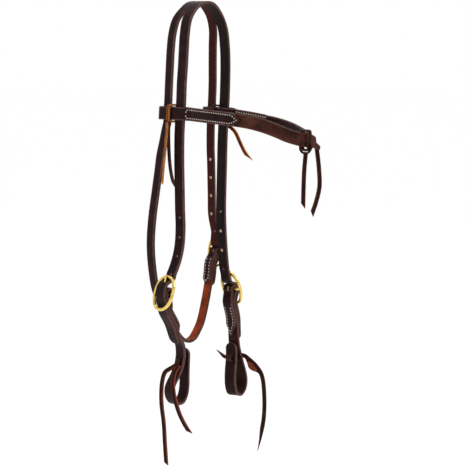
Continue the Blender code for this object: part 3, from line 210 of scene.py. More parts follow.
# Cheek straps past the buckle, round the bit loop: out as shares of CHEEK_REACH, and down
# from the buckle's middle as shares of CHEEK_DROP
RIGHT_CHEEK_SHARES = (
    (1.48, 0.281), (1.28, 0.410), (1.13, 0.480), (1.09, 0.535), (1.10, 0.604), (1.165, 0.667),
    (1.325, 0.75), (1.51, 0.819), (1.595, 0.875), (1.56, 0.945), (1.37, 1.003), (1.14, 0.997),
    (0.985, 0.931), (0.93, 0.847), (0.925, 0.757), (0.915, 0.688), (0.90, 0.618), (0.895, 0.563),
    (0.905, 0.52))
LEFT_CHEEK_SHARES = (
    (1.285, 0.271), (1.31, 0.396), (1.335, 0.486), (1.375, 0.563), (1.45, 0.632), (1.55, 0.715),
    (1.655, 0.799), (1.70, 0.875), (1.63, 0.951), (1.45, 0.993), (1.275, 0.976), (1.185, 0.917),
    (1.16, 0.840), (1.175, 0.757), (1.21, 0.674), (1.22, 0.604), (1.215, 0.549), (1.21, 0.505))

# Browband halves from the ear forward: forward, out and down as shares of BROW_REACH, _BULGE
# and _SAG
RIGHT_BROW_SHARES = (
    (0.15, 0.92, 0.02), (0.27, 0.978, 0.05), (0.403, 1.0, 0.095), (0.538, 0.978, 0.155),
    (0.672, 0.90, 0.25), (0.78, 0.775, 0.42), (0.86, 0.607, 0.645), (0.92, 0.42, 0.88),
    (0.962, 0.25, 1.02), (0.987, 0.10, 1.10), (0.997, -0.03, 1.14), (1.0, -0.16, 1.20),
    (0.999, -0.28, 1.32), (0.995, -0.40, 1.46), (0.990, -0.55, 1.60))
LEFT_BROW_SHARES = (
    (0.15, 0.73, 0.055), (0.27, 0.81, 0.15), (0.403, 0.865, 0.275), (0.538, 0.876, 0.41),
    (0.672, 0.83, 0.60), (0.78, 0.73, 0.80), (0.86, 0.575, 0.93), (0.915, 0.40, 1.0),
    (0.95, 0.24, 1.01), (0.964, 0.09, 1.0), (0.9645, -0.02, 1.0), (0.953, -0.12, 1.01),
    (0.925, -0.24, 1.02))

# Free ends of the thongs: forward, out and down from the root, as shares of the end's reach
RIGHT_FRONT_END = 82.5, (
    (0.0, 0.0, 0.0), (-0.01, 0.06, 0.079), (0.027, 0.137, 0.176), (0.081, 0.192, 0.297),
    (0.136, 0.204, 0.467), (0.215, 0.192, 0.673), (0.293, 0.155, 0.842), (0.39, 0.109, 1.0))
RIGHT_REAR_END = 131.0, (
    (0.0, 0.0, 0.0), (-0.035, 0.03, 0.03), (-0.085, 0.05, 0.07), (-0.108, 0.068, 0.168),
    (-0.111, 0.076, 0.366), (-0.085, 0.069, 0.576), (-0.079, 0.061, 0.767), (-0.075, 0.046, 1.0))
LEFT_LONG_END = 124.0, (
    (0.0, 0.0, 0.0), (0.044, 0.002, 0.004), (0.10, 0.004, 0.03), (0.205, 0.0, 0.085),
    (0.30, -0.004, 0.178), (0.342, -0.008, 0.395), (0.338, -0.016, 0.653), (0.29, -0.024, 0.847),
    (0.237, -0.032, 1.0))
LEFT_SHORT_END = 20.0, (
    (0.0, 0.0, 0.0), (-0.27, -0.01, -0.05), (-0.52, -0.03, -0.14), (-0.75, -0.05, -0.235),
    (-0.97, -0.075, -0.325))
EAR_OUTER_END = 78.0, (
    (0.0, 0.0, 0.0), (0.012, 0.01, 0.08), (-0.007, 0.03, 0.41), (-0.013, 0.064, 0.67),
    (-0.02, 0.10, 1.0))
EAR_INNER_END = 87.0, (
    (0.0, 0.0, 0.0), (-0.004, 0.003, 0.13), (-0.014, -0.01, 0.35), (-0.03, -0.045, 0.61),
    (-0.042, -0.10, 0.82), (-0.045, -0.175, 1.0))
EAR_LEFT_END = 52.0, (
    (0.0, 0.0, 0.0), (0.11, 0.01, 0.02), (0.27, 0.02, 0.07), (0.42, 0.04, 0.19),
    (0.575, 0.06, 0.45), (0.74, 0.07, 0.69), (0.95, 0.09, 0.90))
RIGHT_TAIL = 66.0, (
    (0.0, 0.0, 0.0), (-0.008, -0.008, 0.12), (-0.02, -0.015, 0.30), (-0.033, -0.015, 0.58),
    (-0.045, -0.015, 1.0))
LEFT_TAIL = 80.0, (
    (0.0, 0.0, 0.0), (0.014, 0.0, 0.08), (0.037, 0.0, 0.245), (0.05, 0.0, 0.52),
    (-0.022, 0.0, 0.77), (-0.126, 0.0, 1.0))

# Where thick leather stands off the solids' path: out and down, in millimetres
RIGHT_FOLD = ((66.2, 365.0), (66.4, 362.6), (67.6, 360.9), (69.4, 360.0), (71.1, 360.2),
              (72.7, 361.7), (73.9, 363.7), (74.5, 365.3))
RIGHT_BILLET_AT_BAR = ((78.2, 362.6), (76.8, 358.0), (73.7, 354.3), (69.8, 351.9),
                       (65.8, 350.7), (62.4, 348.9))
RIGHT_BILLET_ABOVE = ((55.5, 335.9), (53.7, 332.4), (51.9, 328.4), (49.7, 323.0),
                      (47.5, 316.4), (45.6, 308.6), (44.2, 299.0))
LEFT_BILLET_AT_BAR = ((37.9, 354.6), (38.6, 358.4), (40.6, 361.6), (43.9, 363.4),
                      (47.6, 364.2), (51.2, 365.6))
THROAT_BILLET_AT_BAR = ((38.2, 311.2), (38.7, 314.2), (40.4, 316.3), (43.0, 317.6),
                        (45.4, 319.4))


# Ways of the straps


def curve_through(points, closed=False, fine=8):
    """A dense centripetal curve through points in millimetres."""
    points = [np.array(point, float) for point in points]
    count = len(points)
    dense = []
    for index in range(count if closed else count - 1):
        first, second = points[index], points[(index + 1) % count]
        before = points[index - 1] if closed or index else first * 2 - second
        after = (points[(index + 2) % count] if closed or index + 2 < count
                 else second * 2 - first)
        knots = [0.0]
        for start, end in ((before, first), (first, second), (second, after)):
            knots.append(knots[-1] + math.sqrt(np.linalg.norm(end - start)))
        for step in range(fine):
            place = knots[1] + (knots[2] - knots[1]) * step / fine
            low = between(before, first, knots[0], knots[1], place)
            middle = between(first, second, knots[1], knots[2], place)
            high = between(second, after, knots[2], knots[3], place)
            near = between(low, middle, knots[0], knots[2], place)
            far = between(middle, high, knots[1], knots[3], place)
            dense.append(between(near, far, knots[1], knots[2], place))
    dense.append(dense[0] if closed else points[-1])
    return np.array(dense)


def between(start, end, low, high, place):
    return start + (end - start) * (place - low) / (high - low)


def units(rows):
    return rows / np.linalg.norm(rows, axis=1, keepdims=True)


def marks_of(points):
    return np.append(0, np.cumsum(np.linalg.norm(np.diff(points, axis=0), axis=1)))


class Way:
    """The way of a strap: how far along, which way across, and which way its face looks."""

    def __init__(self, points, across=(1, 0, 0), later=None, fade=(0, 1), closed=False):
        self.points = np.array(points, float)
        self.marks = marks_of(self.points)
        self.length = self.marks[-1]
        self.across = np.array(across, float)
        self.later = np.array(across if later is None else later, float)
        self.fade = fade
        self.closed = closed

    def point(self, places):
        inside = places % self.length if self.closed else np.clip(places, 0, self.length)
        found = np.stack([np.interp(inside, self.marks, self.points[:, axis])
                          for axis in range(3)], axis=1)
        if not self.closed:
            head = self.points[1] - self.points[0]
            foot = self.points[-1] - self.points[-2]
            found += np.minimum(places, 0)[:, None] * head / np.linalg.norm(head)
            found += np.maximum(places - self.length, 0)[:, None] * foot / np.linalg.norm(foot)
        return found

    def frames(self, places):
        along = units(self.point(places + 0.6) - self.point(places - 0.6))
        share = np.clip((places - self.fade[0]) / (self.fade[1] - self.fade[0]), 0, 1)[:, None]
        across = self.across * (1 - share) + self.later * share
        wide = units(across - along * np.sum(across * along, axis=1, keepdims=True))
        return self.point(places), wide, np.cross(along, wide)

    def place(self, flat, face):
        """Where flat places lie in the world, in metres."""
        point, wide, normal = self.frames(flat[:, 0])
        return (point + face * (wide * flat[:, 1:2] + normal * flat[:, 2:3])) * MM

    def stations(self, low, high, step=3.0, turn=math.radians(9)):
        """Places along the way, closer together where it bends."""
        places = np.linspace(low, high, max(3, int((high - low) / 0.3)))
        along = units(self.point(places + 0.6) - self.point(places - 0.6))
        turned = np.arccos(np.clip(np.sum(along[1:] * along[:-1], axis=1), -1, 1))
        pace = np.append(0, np.cumsum(np.diff(places) / step + turned / turn))
        return np.interp(np.linspace(0, pace[-1], math.ceil(pace[-1]) + 1), pace, places)

    def beside(self, low, high, distance, count=40):
        """Points of a second layer, at a distance along the normal."""
        point, _, normal = self.frames(np.linspace(low, high, count + 1))
        return list(point + normal * distance)


def rerouted(points, x, side, hand, before, after):
    """The same way, but through given points at out and down, and smoothly into them."""
    hand = [np.array((x, side * out, -down)) for out, down in hand]
    marks = marks_of(points)
    first, last = (marks[np.argmin(np.linalg.norm(points - end, axis=1))]
                   for end in (hand[0], hand[-1]))
    leave = int(np.searchsorted(marks, first - before)) - 1
    back = int(np.searchsorted(marks, last + after))
    bridge = curve_through([points[leave - 4], points[leave], *hand, points[back],
                            points[back + 4]])
    return np.vstack((points[:leave], bridge[8:-8], points[back + 1:]))


def leg_points(side, shares):
    return [np.array((CHEEK_CENTRE, side * out * HALF_SPAN, -down * BAR_DROP))
            for out, down in shares]


def rear_points(side, shares):
    return [np.array((REAR_CENTRE - back * REAR_SPREAD, side * out * HALF_SPAN,
                      -down * BAR_DROP)) for back, out, down in shares]


def cheek_points(buckle, shares):
    return [np.array((CHEEK_CENTRE, buckle.side * out * CHEEK_REACH,
                      buckle.middle[2] - down * CHEEK_DROP)) for out, down in shares]


def crown_ways(right_layer, left_layer, throat_layer):
    right_tail = right_layer.beside(0, BILLET_TAIL, RIGHT_BUCKLE.layer)[::2]
    left_tail = left_layer.beside(0, BILLET_TAIL, -LEFT_BUCKLE.layer)[::2]
    right_down = leg_points(RIGHT, RIGHT_LEG_SHARES) + RIGHT_BUCKLE.billet_above()
    left_down = leg_points(LEFT, LEFT_LEG_SHARES) + LEFT_BUCKLE.billet_above()
    front = curve_through(right_tail[::-1] + right_down[::-1] + [CROWN_TOP] + left_down + left_tail)
    front = rerouted(front, CHEEK_CENTRE, RIGHT, RIGHT_BILLET_AT_BAR, 2, 2)
    front = rerouted(front, CHEEK_CENTRE, RIGHT, RIGHT_BILLET_ABOVE, 3, 18)
    front = rerouted(front, CHEEK_CENTRE, LEFT, LEFT_BILLET_AT_BAR, 3, 3)
    rear_top = CROWN_TOP - np.array((REAR_ASIDE, 0, 0))
    throat_tail = throat_layer.beside(0, THROAT_TAIL, -THROAT_BUCKLE.layer)[::2]
    left_rear = curve_through([rear_top] + rear_points(LEFT, LEFT_REAR_SHARES)
                              + THROAT_BUCKLE.billet_above() + throat_tail)
    left_rear = rerouted(left_rear, -THROAT_BACK, LEFT, THROAT_BILLET_AT_BAR, 3, 3)
    right_rear = curve_through([rear_top] + rear_points(RIGHT, RIGHT_REAR_SHARES))
    return Way(front), Way(left_rear), Way(right_rear)


def brow_way(side, shares, ear, overlay_length):
    """One browband half: overlay, round both legs at the ear, then forward to the knot."""
    ear_out, ear_drop, lean, _ = ear
    turn, legs_front = -EAR_BACK, CHEEK_CENTRE + CHEEK_WIDTH / 2

    def spot(x, out, down=0.0):
        return np.array((x, side * out, -ear_drop - down))

    inner, outer = ear_out - EAR_GAP, ear_out + EAR_GAP
    leaning = (0, -side * math.tan(lean), 1)
    layer = Way(curve_through(
        [spot(turn, inner), spot(turn / 2, inner), spot(0, inner), spot(legs_front, inner)]
        + [spot(x * BROW_REACH, out * BROW_BULGE, down * BROW_SAG) for x, out, down in shares]),
        leaning)
    joined = layer.marks[np.argmax(layer.points[:, 0] > legs_front + OVERLAY_EASE)]
    facing = layer.frames(np.array([layer.length * 0.3]))[2][0][1] * side
    lift = (LEATHER + LAYER_GAP) * math.copysign(1, facing)
    overlay = layer.beside(joined, overlay_length, lift, 30)
    around = [spot(legs_front + OVERLAY_EASE * 0.2, outer), spot(0, outer),
              spot(turn / 2, outer), spot(turn, outer)]
    for number in range(1, 6):
        angle = math.pi * number / 6
        around.append(spot(turn - EAR_GAP * math.sin(angle), ear_out + EAR_GAP * math.cos(angle)))
    start = curve_through(overlay[::-1][::3] + around, fine=6)
    points = np.vstack((start, layer.points))
    rest = marks_of(points)[len(start)]
    fade = (rest + overlay_length, rest + overlay_length + LEAN_FADE)
    return Way(points, leaning, (0, 0, 1), fade)


def rounded_loop(centre, first, second, half_first, half_second):
    """A rectangle with round corners, spanned by two directions."""
    points = []
    for a, b, start in ((1, 1, 0), (-1, 1, 90), (-1, -1, 180), (1, -1, 270)):
        for step in range(4):
            angle = math.radians(start + 30 * step)
            points.append(centre + first * (a * (half_first - THONG) + THONG * math.cos(angle))
                          + second * (b * (half_second - THONG) + THONG * math.sin(angle)))
    return points


def ear_loop(side, ear):
    """The thong round both layers of the browband, and the place below it for its ends."""
    ear_out, ear_drop, lean, back = ear
    up = np.array((0, -side * math.sin(lean), math.cos(lean)))
    out = np.array((0, side * math.cos(lean), math.sin(lean)))
    tall = BROW_WIDTH / 2 + SEAT_GAP * 2 + THONG / 2
    deep = LEATHER * 1.5 + EAR_CLEARANCE + SEAT_GAP * 4 + THONG / 2
    centre = np.array((-back, side * ear_out, -ear_drop))
    root = centre + out * deep - up * (tall + THONG / 2 + END_GAP)
    return rounded_loop(centre, out, up, deep, tall), root


def bit_loop(buckle, points):
    """The thong through the two slots of a bit loop: its path, and its four corners."""
    strap_way = Way(points)
    height = buckle.middle[2] - BIT_TIE_DROP
    heights = strap_way.points[:, 2]
    bottom = int(np.argmin(heights))
    clear = LEATHER / 2 + SEAT_GAP * 2 + THONG / 2
    corners = []
    for shift in (BIT_TIE_SPACING / 2, -BIT_TIE_SPACING / 2):
        level = height + shift
        passes = [index for index in range(len(heights) - 1)
                  if (heights[index] - level) * (heights[index + 1] - level) <= 0]
        down = max(index for index in passes if index < bottom)
        rise = min(index for index in passes if index > bottom)
        point, _, normal = strap_way.frames(strap_way.marks[[down, rise]])
        lean = clear / np.maximum(abs(normal[:, 1]), 0.6)
        corners.append(point[0] + np.array((0, buckle.side * lean[0], 0)))
        corners.append(point[1] - np.array((0, buckle.side * lean[1], 0)))
    top_out, top_in, low_out, low_in = corners
    order = (top_out, top_in, low_in, low_out)
    path = []
    for index, corner in enumerate(order):
        start, end = (corner + THONG * 0.8 * units((other - corner)[None])[0]
                      for other in (order[index - 1], order[(index + 1) % 4]))
        path += [start, (start + end) / 2 * 0.55 + corner * 0.45, end]
    return path, corners


def free_end(root, side, end):
    length, shares = end
    return curve_through([root + np.array((x, side * out, -down)) * length
                          for x, out, down in shares])


# Work at the bench, on flat leather


def only(piece):
    bpy.ops.object.select_all(action="DESELECT")
    piece.select_set(True)
    bpy.context.view_layer.objects.active = piece


def open_up(piece):
    """Goes into edit mode on one piece alone."""
    only(piece)
    bpy.ops.object.mode_set(mode="EDIT")


def close_up():
    bpy.ops.object.mode_set(mode="OBJECT")


def pick(piece, kind, wanted):
    """In edit mode, selects just the vertices, edges or faces that the test wants."""
    bpy.ops.mesh.select_mode(type=kind)
    bpy.ops.mesh.select_all(action="DESELECT")
    shape = bmesh.from_edit_mesh(piece.data)
    for part in {"VERT": shape.verts, "EDGE": shape.edges, "FACE": shape.faces}[kind]:
        if wanted(part):
            part.select_set(True)
    bmesh.update_edit_mesh(piece.data)


def at_end(place):
    return lambda edge: all(abs(corner.co.x - place) < 0.01 for corner in edge.verts)


def trim_end(piece, place, inward, width, side, kind, reach=0.0):
    """Cuts a strap's square end to a round, a point, a slant or a narrow tip."""
    if kind == "round":
        pick(piece, "VERT", lambda corner: abs(corner.co.x - place) < 0.01)
        bpy.ops.mesh.bevel(affect="VERTICES", offset=width / 2 * 0.99, segments=9)
    elif kind == "point":
        pick(piece, "EDGE", at_end(place))
        bpy.ops.mesh.extrude_region_move(TRANSFORM_OT_translate={"value": (-inward * reach, 0, 0)})
        bpy.ops.mesh.merge(type="CENTER")
    elif kind == "slant":
        pick(piece, "VERT", lambda corner: abs(corner.co.x - place) < 0.01 and corner.co.y < side)
        bpy.ops.transform.translate(value=(inward * reach, 0, 0))
    elif kind == "narrow":
        pick(piece, "EDGE", at_end(place))
        for share, size in ((0.3, NARROW_SHARE), (0.7, 1.0)):
            bpy.ops.mesh.extrude_region_move(
                TRANSFORM_OT_translate={"value": (-inward * reach * share, 0, 0)})
            bpy.ops.transform.resize(value=(1, size, 1), center_override=(place, side, 0))
        bpy.ops.mesh.bevel(affect="VERTICES", offset=width * NARROW_SHARE * 0.45, segments=5)


def rim(edge):
    """True for a sharp edge between a face of the strap and its side."""
    tilts = [abs(face.normal.z) for face in edge.link_faces]
    return len(tilts) == 2 and max(tilts) > 0.9 and min(tilts) < 0.1


def strap_blank(name, start, end, width, thick, head=SQUARE, foot=SQUARE, side=0.0):
    """A strap cut flat from a hide of one thickness, with its two ends shaped."""
    first = start + (head[1] if head[0] in ("point", "narrow") else 0)
    last = end - (foot[1] if foot[0] in ("point", "narrow") else 0)
    bpy.ops.object.select_all(action="DESELECT")
    bpy.ops.mesh.primitive_plane_add(size=1, location=((first + last) / 2, side, -thick / 2))
    piece = bpy.context.object
    piece.name = name
    bpy.ops.transform.resize(value=(last - first, width, 1))
    bpy.ops.object.transform_apply(location=True, rotation=True, scale=True)
    bpy.ops.object.mode_set(mode="EDIT")
    trim_end(piece, first, 1, width, side, *head)
    trim_end(piece, last, -1, width, side, *foot)
    bpy.ops.mesh.select_all(action="SELECT")
    bpy.ops.mesh.extrude_region_move(TRANSFORM_OT_translate={"value": (0, 0, thick)})
    bpy.ops.mesh.select_all(action="SELECT")
    bpy.ops.mesh.normals_make_consistent(inside=False)
    close_up()
    return piece


def round_rims(piece, radius, kept=None):
    """Runs an edge beveller along every rim."""
    open_up(piece)
    pick(piece, "EDGE", lambda edge: rim(edge) and not (kept and kept(edge)))
    bpy.ops.mesh.bevel(offset=radius, segments=3, profile=0.6)
    close_up()


def boolean(piece, tool, operation):
    work = piece.modifiers.new("bench", "BOOLEAN")
    work.operation = operation
    work.solver = "EXACT"
    work.object = tool
    only(piece)
    bpy.ops.object.modifier_apply(modifier=work.name)
    bpy.data.objects.remove(tool)


def joined(pieces, name):
    bpy.ops.object.select_all(action="DESELECT")
    for piece in pieces:
        piece.select_set(True)
    bpy.context.view_layer.objects.active = pieces[0]
    if len(pieces) > 1:
        bpy.ops.object.join()
    pieces[0].name = name
    return pieces[0]


def punch(piece, holes=(), slots=(), lift=0.0):
    """Punches round holes at (along, side) and cuts slots from low to high, so wide. A lifted
    punch stops short, and leaves the floor of a slit that has closed."""
    cutters = []
    for along, side in holes:
        bpy.ops.object.select_all(action="DESELECT")
        bpy.ops.mesh.primitive_cylinder_add(vertices=24, radius=HOLE / 2, depth=CUTTER,
                                            location=(along, side, 0))
        bpy.ops.object.transform_apply(location=True, rotation=True, scale=True)
        cutters.append(bpy.context.object)
    for low, high, width, side in slots:
        bpy.ops.object.select_all(action="DESELECT")
        bpy.ops.mesh.primitive_cube_add(size=1, location=((low + high) / 2, side, lift))
        cutter = bpy.context.object
        bpy.ops.transform.resize(value=(high - low, width, CUTTER))
        bpy.ops.object.transform_apply(location=True, rotation=True, scale=True)
        bpy.ops.object.mode_set(mode="EDIT")
        pick(cutter, "EDGE", lambda edge: abs(edge.verts[0].co.z - edge.verts[1].co.z) > 1)
        bpy.ops.mesh.bevel(offset=min(width, high - low) * 0.45, segments=5)
        close_up()
        cutters.append(cutter)
    if cutters:
        boolean(piece, joined(cutters, "punches"), "DIFFERENCE")


def slice_across(piece, places, sides=()):
    """Adds the lines across a strap that let it bend, and lines along it beside its rims."""
    open_up(piece)
    bpy.ops.mesh.select_mode(type="FACE")
    for side in sides:
        bpy.ops.mesh.select_all(action="SELECT")
        bpy.ops.mesh.bisect(plane_co=(0, side, 0), plane_no=(0, 1, 0))
    for place in places:
        bpy.ops.mesh.select_all(action="SELECT")
        bpy.ops.mesh.bisect(plane_co=(place, 0, 0), plane_no=(1, 0, 0))
    close_up()


def flat_places(piece):
    flat = np.empty(len(piece.data.vertices) * 3)
    piece.data.vertices.foreach_get("co", flat)
    return flat.reshape(-1, 3)


def lay(piece, way, face):
    piece.data.vertices.foreach_set("co", way.place(flat_places(piece), face).ravel())
    piece.data.update()


def dress(piece, finishes, thick, near_rim, inside):
    """Gives grain, flesh, edge and punched walls their finishes, and keeps the flat lie."""
    for finish in finishes:
        piece.data.materials.append(finish)
    for face in piece.data.polygons:
        tilt = face.normal.z
        if abs(tilt) > 0.75 and abs(face.center.z) < thick / 2 - 0.35:
            face.material_index = 3
        elif tilt > 0.75:
            face.material_index = 0
        elif tilt < -0.75:
            face.material_index = 1
        elif abs(tilt) < 0.3 and inside(face.center):
            face.material_index = 3
        else:
            face.material_index = 2
    flat = flat_places(piece)
    lie = piece.data.attributes.new("lie", "FLOAT_VECTOR", "POINT")
    lie.data.foreach_set("vector", flat.ravel())
    # marks the rims for the lighter worn colour, which is partly a painted highlight
    rim_wear_and_highlight = piece.data.attributes.new("rim_wear_and_highlight", "FLOAT", "POINT")
    rim_wear_and_highlight.data.foreach_set("value", np.array([near_rim(row) for row in flat], float))


def smooth(piece, degrees=38):
    only(piece)
    bpy.ops.object.shade_smooth_by_angle(angle=math.radians(degrees))


def close_seam(piece):
    """Joins the two ends of a strand that runs round and meets itself."""
    open_up(piece)
    bpy.ops.mesh.select_all(action="SELECT")
    bpy.ops.mesh.remove_doubles(threshold=0.00003)
    close_up()


def settle(piece, node):
    """The piece stands for its CAD node and moves with the same body."""
    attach(piece, BODY_OF[node])
    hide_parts(node)


# Finishes


def colour(code):
    """A linear colour from an sRGB hex value."""
    values = [int(code[index:index + 2], 16) / 255 for index in (1, 3, 5)]
    return tuple(value / 12.92 if value < 0.04045 else ((value + 0.055) / 1.055) ** 2.4
                 for value in values) + (1.0,)


def add(tree, kind, values=None, **settings):
    """Adds a node with its settings, and links or sets its inputs."""
    made = tree.nodes.new(kind)
    for name, value in settings.items():
        setattr(made, name, value)
    for socket, value in (values or {}).items():
        if isinstance(value, bpy.types.NodeSocket):
            tree.links.new(value, made.inputs[socket])
        else:
            made.inputs[socket].default_value = value
    return made


def fresh_finish(name):
    finish = bpy.data.materials.new(name)
    finish.use_nodes = True
    finish.node_tree.nodes.clear()
    return finish, finish.node_tree


def close_finish(tree, values):
    surface = add(tree, "ShaderNodeBsdfPrincipled", values)
    add(tree, "ShaderNodeOutputMaterial", {"Surface": surface.outputs[0]})


def oiled_leather(name, deep, face, rim_wear_and_highlight, gloss, pores):
    """Vegetable tanned leather, drum dyed and oiled: a closed grain with soft mottling, fine
    pores and creases across the strap, and lighter brown along the rims, partly wear from handling
    and partly a painted highlight where the rounded rims catch the light."""
    finish, tree = fresh_finish(name)
    lie = add(tree, "ShaderNodeAttribute", attribute_name="lie").outputs["Vector"]
    # the rims' mask, for their wear and for the painted highlight along them
    rim_wear_and_highlight_mask = add(tree, "ShaderNodeAttribute", attribute_name="rim_wear_and_highlight").outputs["Fac"]
    # mottling of the dye, 12 to 25 mm across
    mottle = add(tree, "ShaderNodeTexNoise", {"Vector": lie, "Scale": 0.06, "Detail": 4.0,
                                              "Roughness": 0.6})
    spread = add(tree, "ShaderNodeMapRange", {"Value": mottle.outputs[0], "From Min": 0.35,
                                              "From Max": 0.65})
    dyed = add(tree, "ShaderNodeMix", {0: spread.outputs[0], 6: colour(deep), 7: colour(face)},
               data_type="RGBA")
    # pores are 0.3 mm on the hide, drawn at 1.4 mm so that they show
    grain = add(tree, "ShaderNodeTexVoronoi", {"Vector": lie, "Scale": 0.7})
    dark_pores = add(tree, "ShaderNodeMapRange", {"Value": grain.outputs["Distance"],
                                                  "From Min": 0.0, "From Max": 0.35,
                                                  "To Min": pores, "To Max": 0.0})
    pored = add(tree, "ShaderNodeMix", {0: dark_pores.outputs[0], 6: dyed.outputs[2],
                                        7: colour(deep)}, data_type="RGBA")
    # wear on the rims and a painted highlight along them, broken up every 6 mm or so
    patches = add(tree, "ShaderNodeTexNoise", {"Vector": lie, "Scale": 0.16, "Detail": 5.0})
    patchy_wear_and_highlight = add(tree, "ShaderNodeMath", {0: rim_wear_and_highlight_mask, 1: patches.outputs[0]}, operation="MULTIPLY")
    edge = add(tree, "ShaderNodeMapRange", {"Value": patchy_wear_and_highlight.outputs[0], "From Min": 0.18,
                                            "From Max": 0.62})
    face_with_rim_wear_and_highlight = add(tree, "ShaderNodeMix", {0: edge.outputs[0], 6: pored.outputs[2],
                                              7: colour(rim_wear_and_highlight)}, data_type="RGBA")
    shine = add(tree, "ShaderNodeMapRange", {"Value": patches.outputs[0], "From Min": 0.3,
                                             "From Max": 0.7, "To Min": gloss - 0.07,
                                             "To Max": gloss + 0.1})
    stretched = add(tree, "ShaderNodeMapping", {"Vector": lie, "Scale": (1.4, 0.25, 1.0)})
    crease = add(tree, "ShaderNodeTexNoise", {"Vector": stretched.outputs[0], "Scale": 0.5,
                                              "Detail": 6.0})
    height = add(tree, "ShaderNodeMath", {0: crease.outputs[0], 1: grain.outputs["Distance"]},
                 operation="ADD")
    relief = add(tree, "ShaderNodeBump", {"Height": height.outputs[0], "Strength": 0.35,
                                          "Distance": 0.0003})
    close_finish(tree, {"Base Color": face_with_rim_wear_and_highlight.outputs[2], "Roughness": shine.outputs[0],
                        "Normal": relief.outputs[0], "IOR": 1.48,
                        "Specular IOR Level": 0.07})
    return finish


def flesh_side(name, deep, face, rough, aside=None):
    """The flesh side, slicked with gum: short fibres along the strap, duller than the grain. The
    dye has taken redder on the legs that lie to one side of the crown."""
    finish, tree = fresh_finish(name)
    lie = add(tree, "ShaderNodeAttribute", attribute_name="lie").outputs["Vector"]
    stretched = add(tree, "ShaderNodeMapping", {"Vector": lie, "Scale": (0.12, 1.0, 1.0)})
    # fibres 0.1 mm thick, drawn at 1.2 mm
    fibres = add(tree, "ShaderNodeTexNoise", {"Vector": stretched.outputs[0], "Scale": 0.85,
                                              "Detail": 7.0, "Roughness": 0.7})
    clouds = add(tree, "ShaderNodeTexNoise", {"Vector": lie, "Scale": 0.05, "Detail": 3.0})
    both = add(tree, "ShaderNodeMath", {0: fibres.outputs[0], 1: clouds.outputs[0]},
               operation="ADD")
    spread = add(tree, "ShaderNodeMapRange", {"Value": both.outputs[0], "From Min": 0.75,
                                              "From Max": 1.25})
    tinted = add(tree, "ShaderNodeMix", {0: spread.outputs[0], 6: colour(deep),
                                         7: colour(face)}, data_type="RGBA")
    if aside:
        place = add(tree, "ShaderNodeSeparateXYZ", {"Vector": lie})
        leg = add(tree, "ShaderNodeMapRange", {"Value": place.outputs["Y"], "From Min": 7.0,
                                               "From Max": 10.0})
        tinted = add(tree, "ShaderNodeMix", {0: leg.outputs[0], 6: tinted.outputs[2],
                                             7: colour(aside)}, data_type="RGBA")
    dull = add(tree, "ShaderNodeMapRange", {"Value": fibres.outputs[0], "From Min": 0.3,
                                            "From Max": 0.7, "To Min": rough - 0.08,
                                            "To Max": rough + 0.12})
    relief = add(tree, "ShaderNodeBump", {"Height": fibres.outputs[0], "Strength": 0.5,
                                          "Distance": 0.0003})
    close_finish(tree, {"Base Color": tinted.outputs[2], "Roughness": dull.outputs[0],
                        "Normal": relief.outputs[0], "IOR": 1.45,
                        "Specular IOR Level": 0.08})
    return finish


def burnished_edge(name, deep, face, rough):
    """A cut edge, dyed and rubbed with wax: fine layers along the strap, lighter in streaks."""
    finish, tree = fresh_finish(name)
    lie = add(tree, "ShaderNodeAttribute", attribute_name="lie").outputs["Vector"]
    layers = add(tree, "ShaderNodeMapping", {"Vector": lie, "Scale": (0.15, 0.6, 2.2)})
    streaks = add(tree, "ShaderNodeTexNoise", {"Vector": layers.outputs[0], "Scale": 0.9,
                                               "Detail": 6.0, "Roughness": 0.65})
    spread = add(tree, "ShaderNodeMapRange", {"Value": streaks.outputs[0], "From Min": 0.36,
                                              "From Max": 0.66})
    tinted = add(tree, "ShaderNodeMix", {0: spread.outputs[0], 6: colour(deep),
                                         7: colour(face)}, data_type="RGBA")
    polish = add(tree, "ShaderNodeMapRange", {"Value": streaks.outputs[0], "From Min": 0.3,
                                              "From Max": 0.7, "To Min": rough - 0.08,
                                              "To Max": rough + 0.12})
    relief = add(tree, "ShaderNodeBump", {"Height": streaks.outputs[0], "Strength": 0.3,
                                          "Distance": 0.0002})
    close_finish(tree, {"Base Color": tinted.outputs[2], "Roughness": polish.outputs[0],
                        "Normal": relief.outputs[0], "IOR": 1.5,
                        "Specular IOR Level": 0.16})
    return finish


def cast_brass():
    """Yellow brass, sand cast and buffed: warm and bright, with soft waves from the buffing,
    faint scratches and a little brown tarnish."""
    finish, tree = fresh_finish("brass_cast_polished")
    place = add(tree, "ShaderNodeTexCoord").outputs["Object"]
    waves = add(tree, "ShaderNodeTexNoise", {"Vector": place, "Scale": 220.0, "Detail": 4.0})
    scratched = add(tree, "ShaderNodeMapping", {"Vector": place, "Scale": (1.0, 1.0, 9.0)})
    scratches = add(tree, "ShaderNodeTexNoise", {"Vector": scratched.outputs[0],
                                                 "Scale": 600.0, "Detail": 3.0})
    tarnish = add(tree, "ShaderNodeMapRange", {"Value": waves.outputs[0], "From Min": 0.5,
                                               "From Max": 0.8})
    tinted = add(tree, "ShaderNodeMix", {0: tarnish.outputs[0], 6: colour("#e6ca74"),
                                         7: colour("#b08a3c")}, data_type="RGBA")
    polish = add(tree, "ShaderNodeMapRange", {"Value": scratches.outputs[0], "From Min": 0.3,
                                              "From Max": 0.7, "To Min": 0.14, "To Max": 0.3})
    relief = add(tree, "ShaderNodeBump", {"Height": waves.outputs[0], "Strength": 0.25,
                                          "Distance": 0.0004})
    close_finish(tree, {"Base Color": tinted.outputs[2], "Roughness": polish.outputs[0],
                        "Normal": relief.outputs[0], "Metallic": 1.0})
    return finish


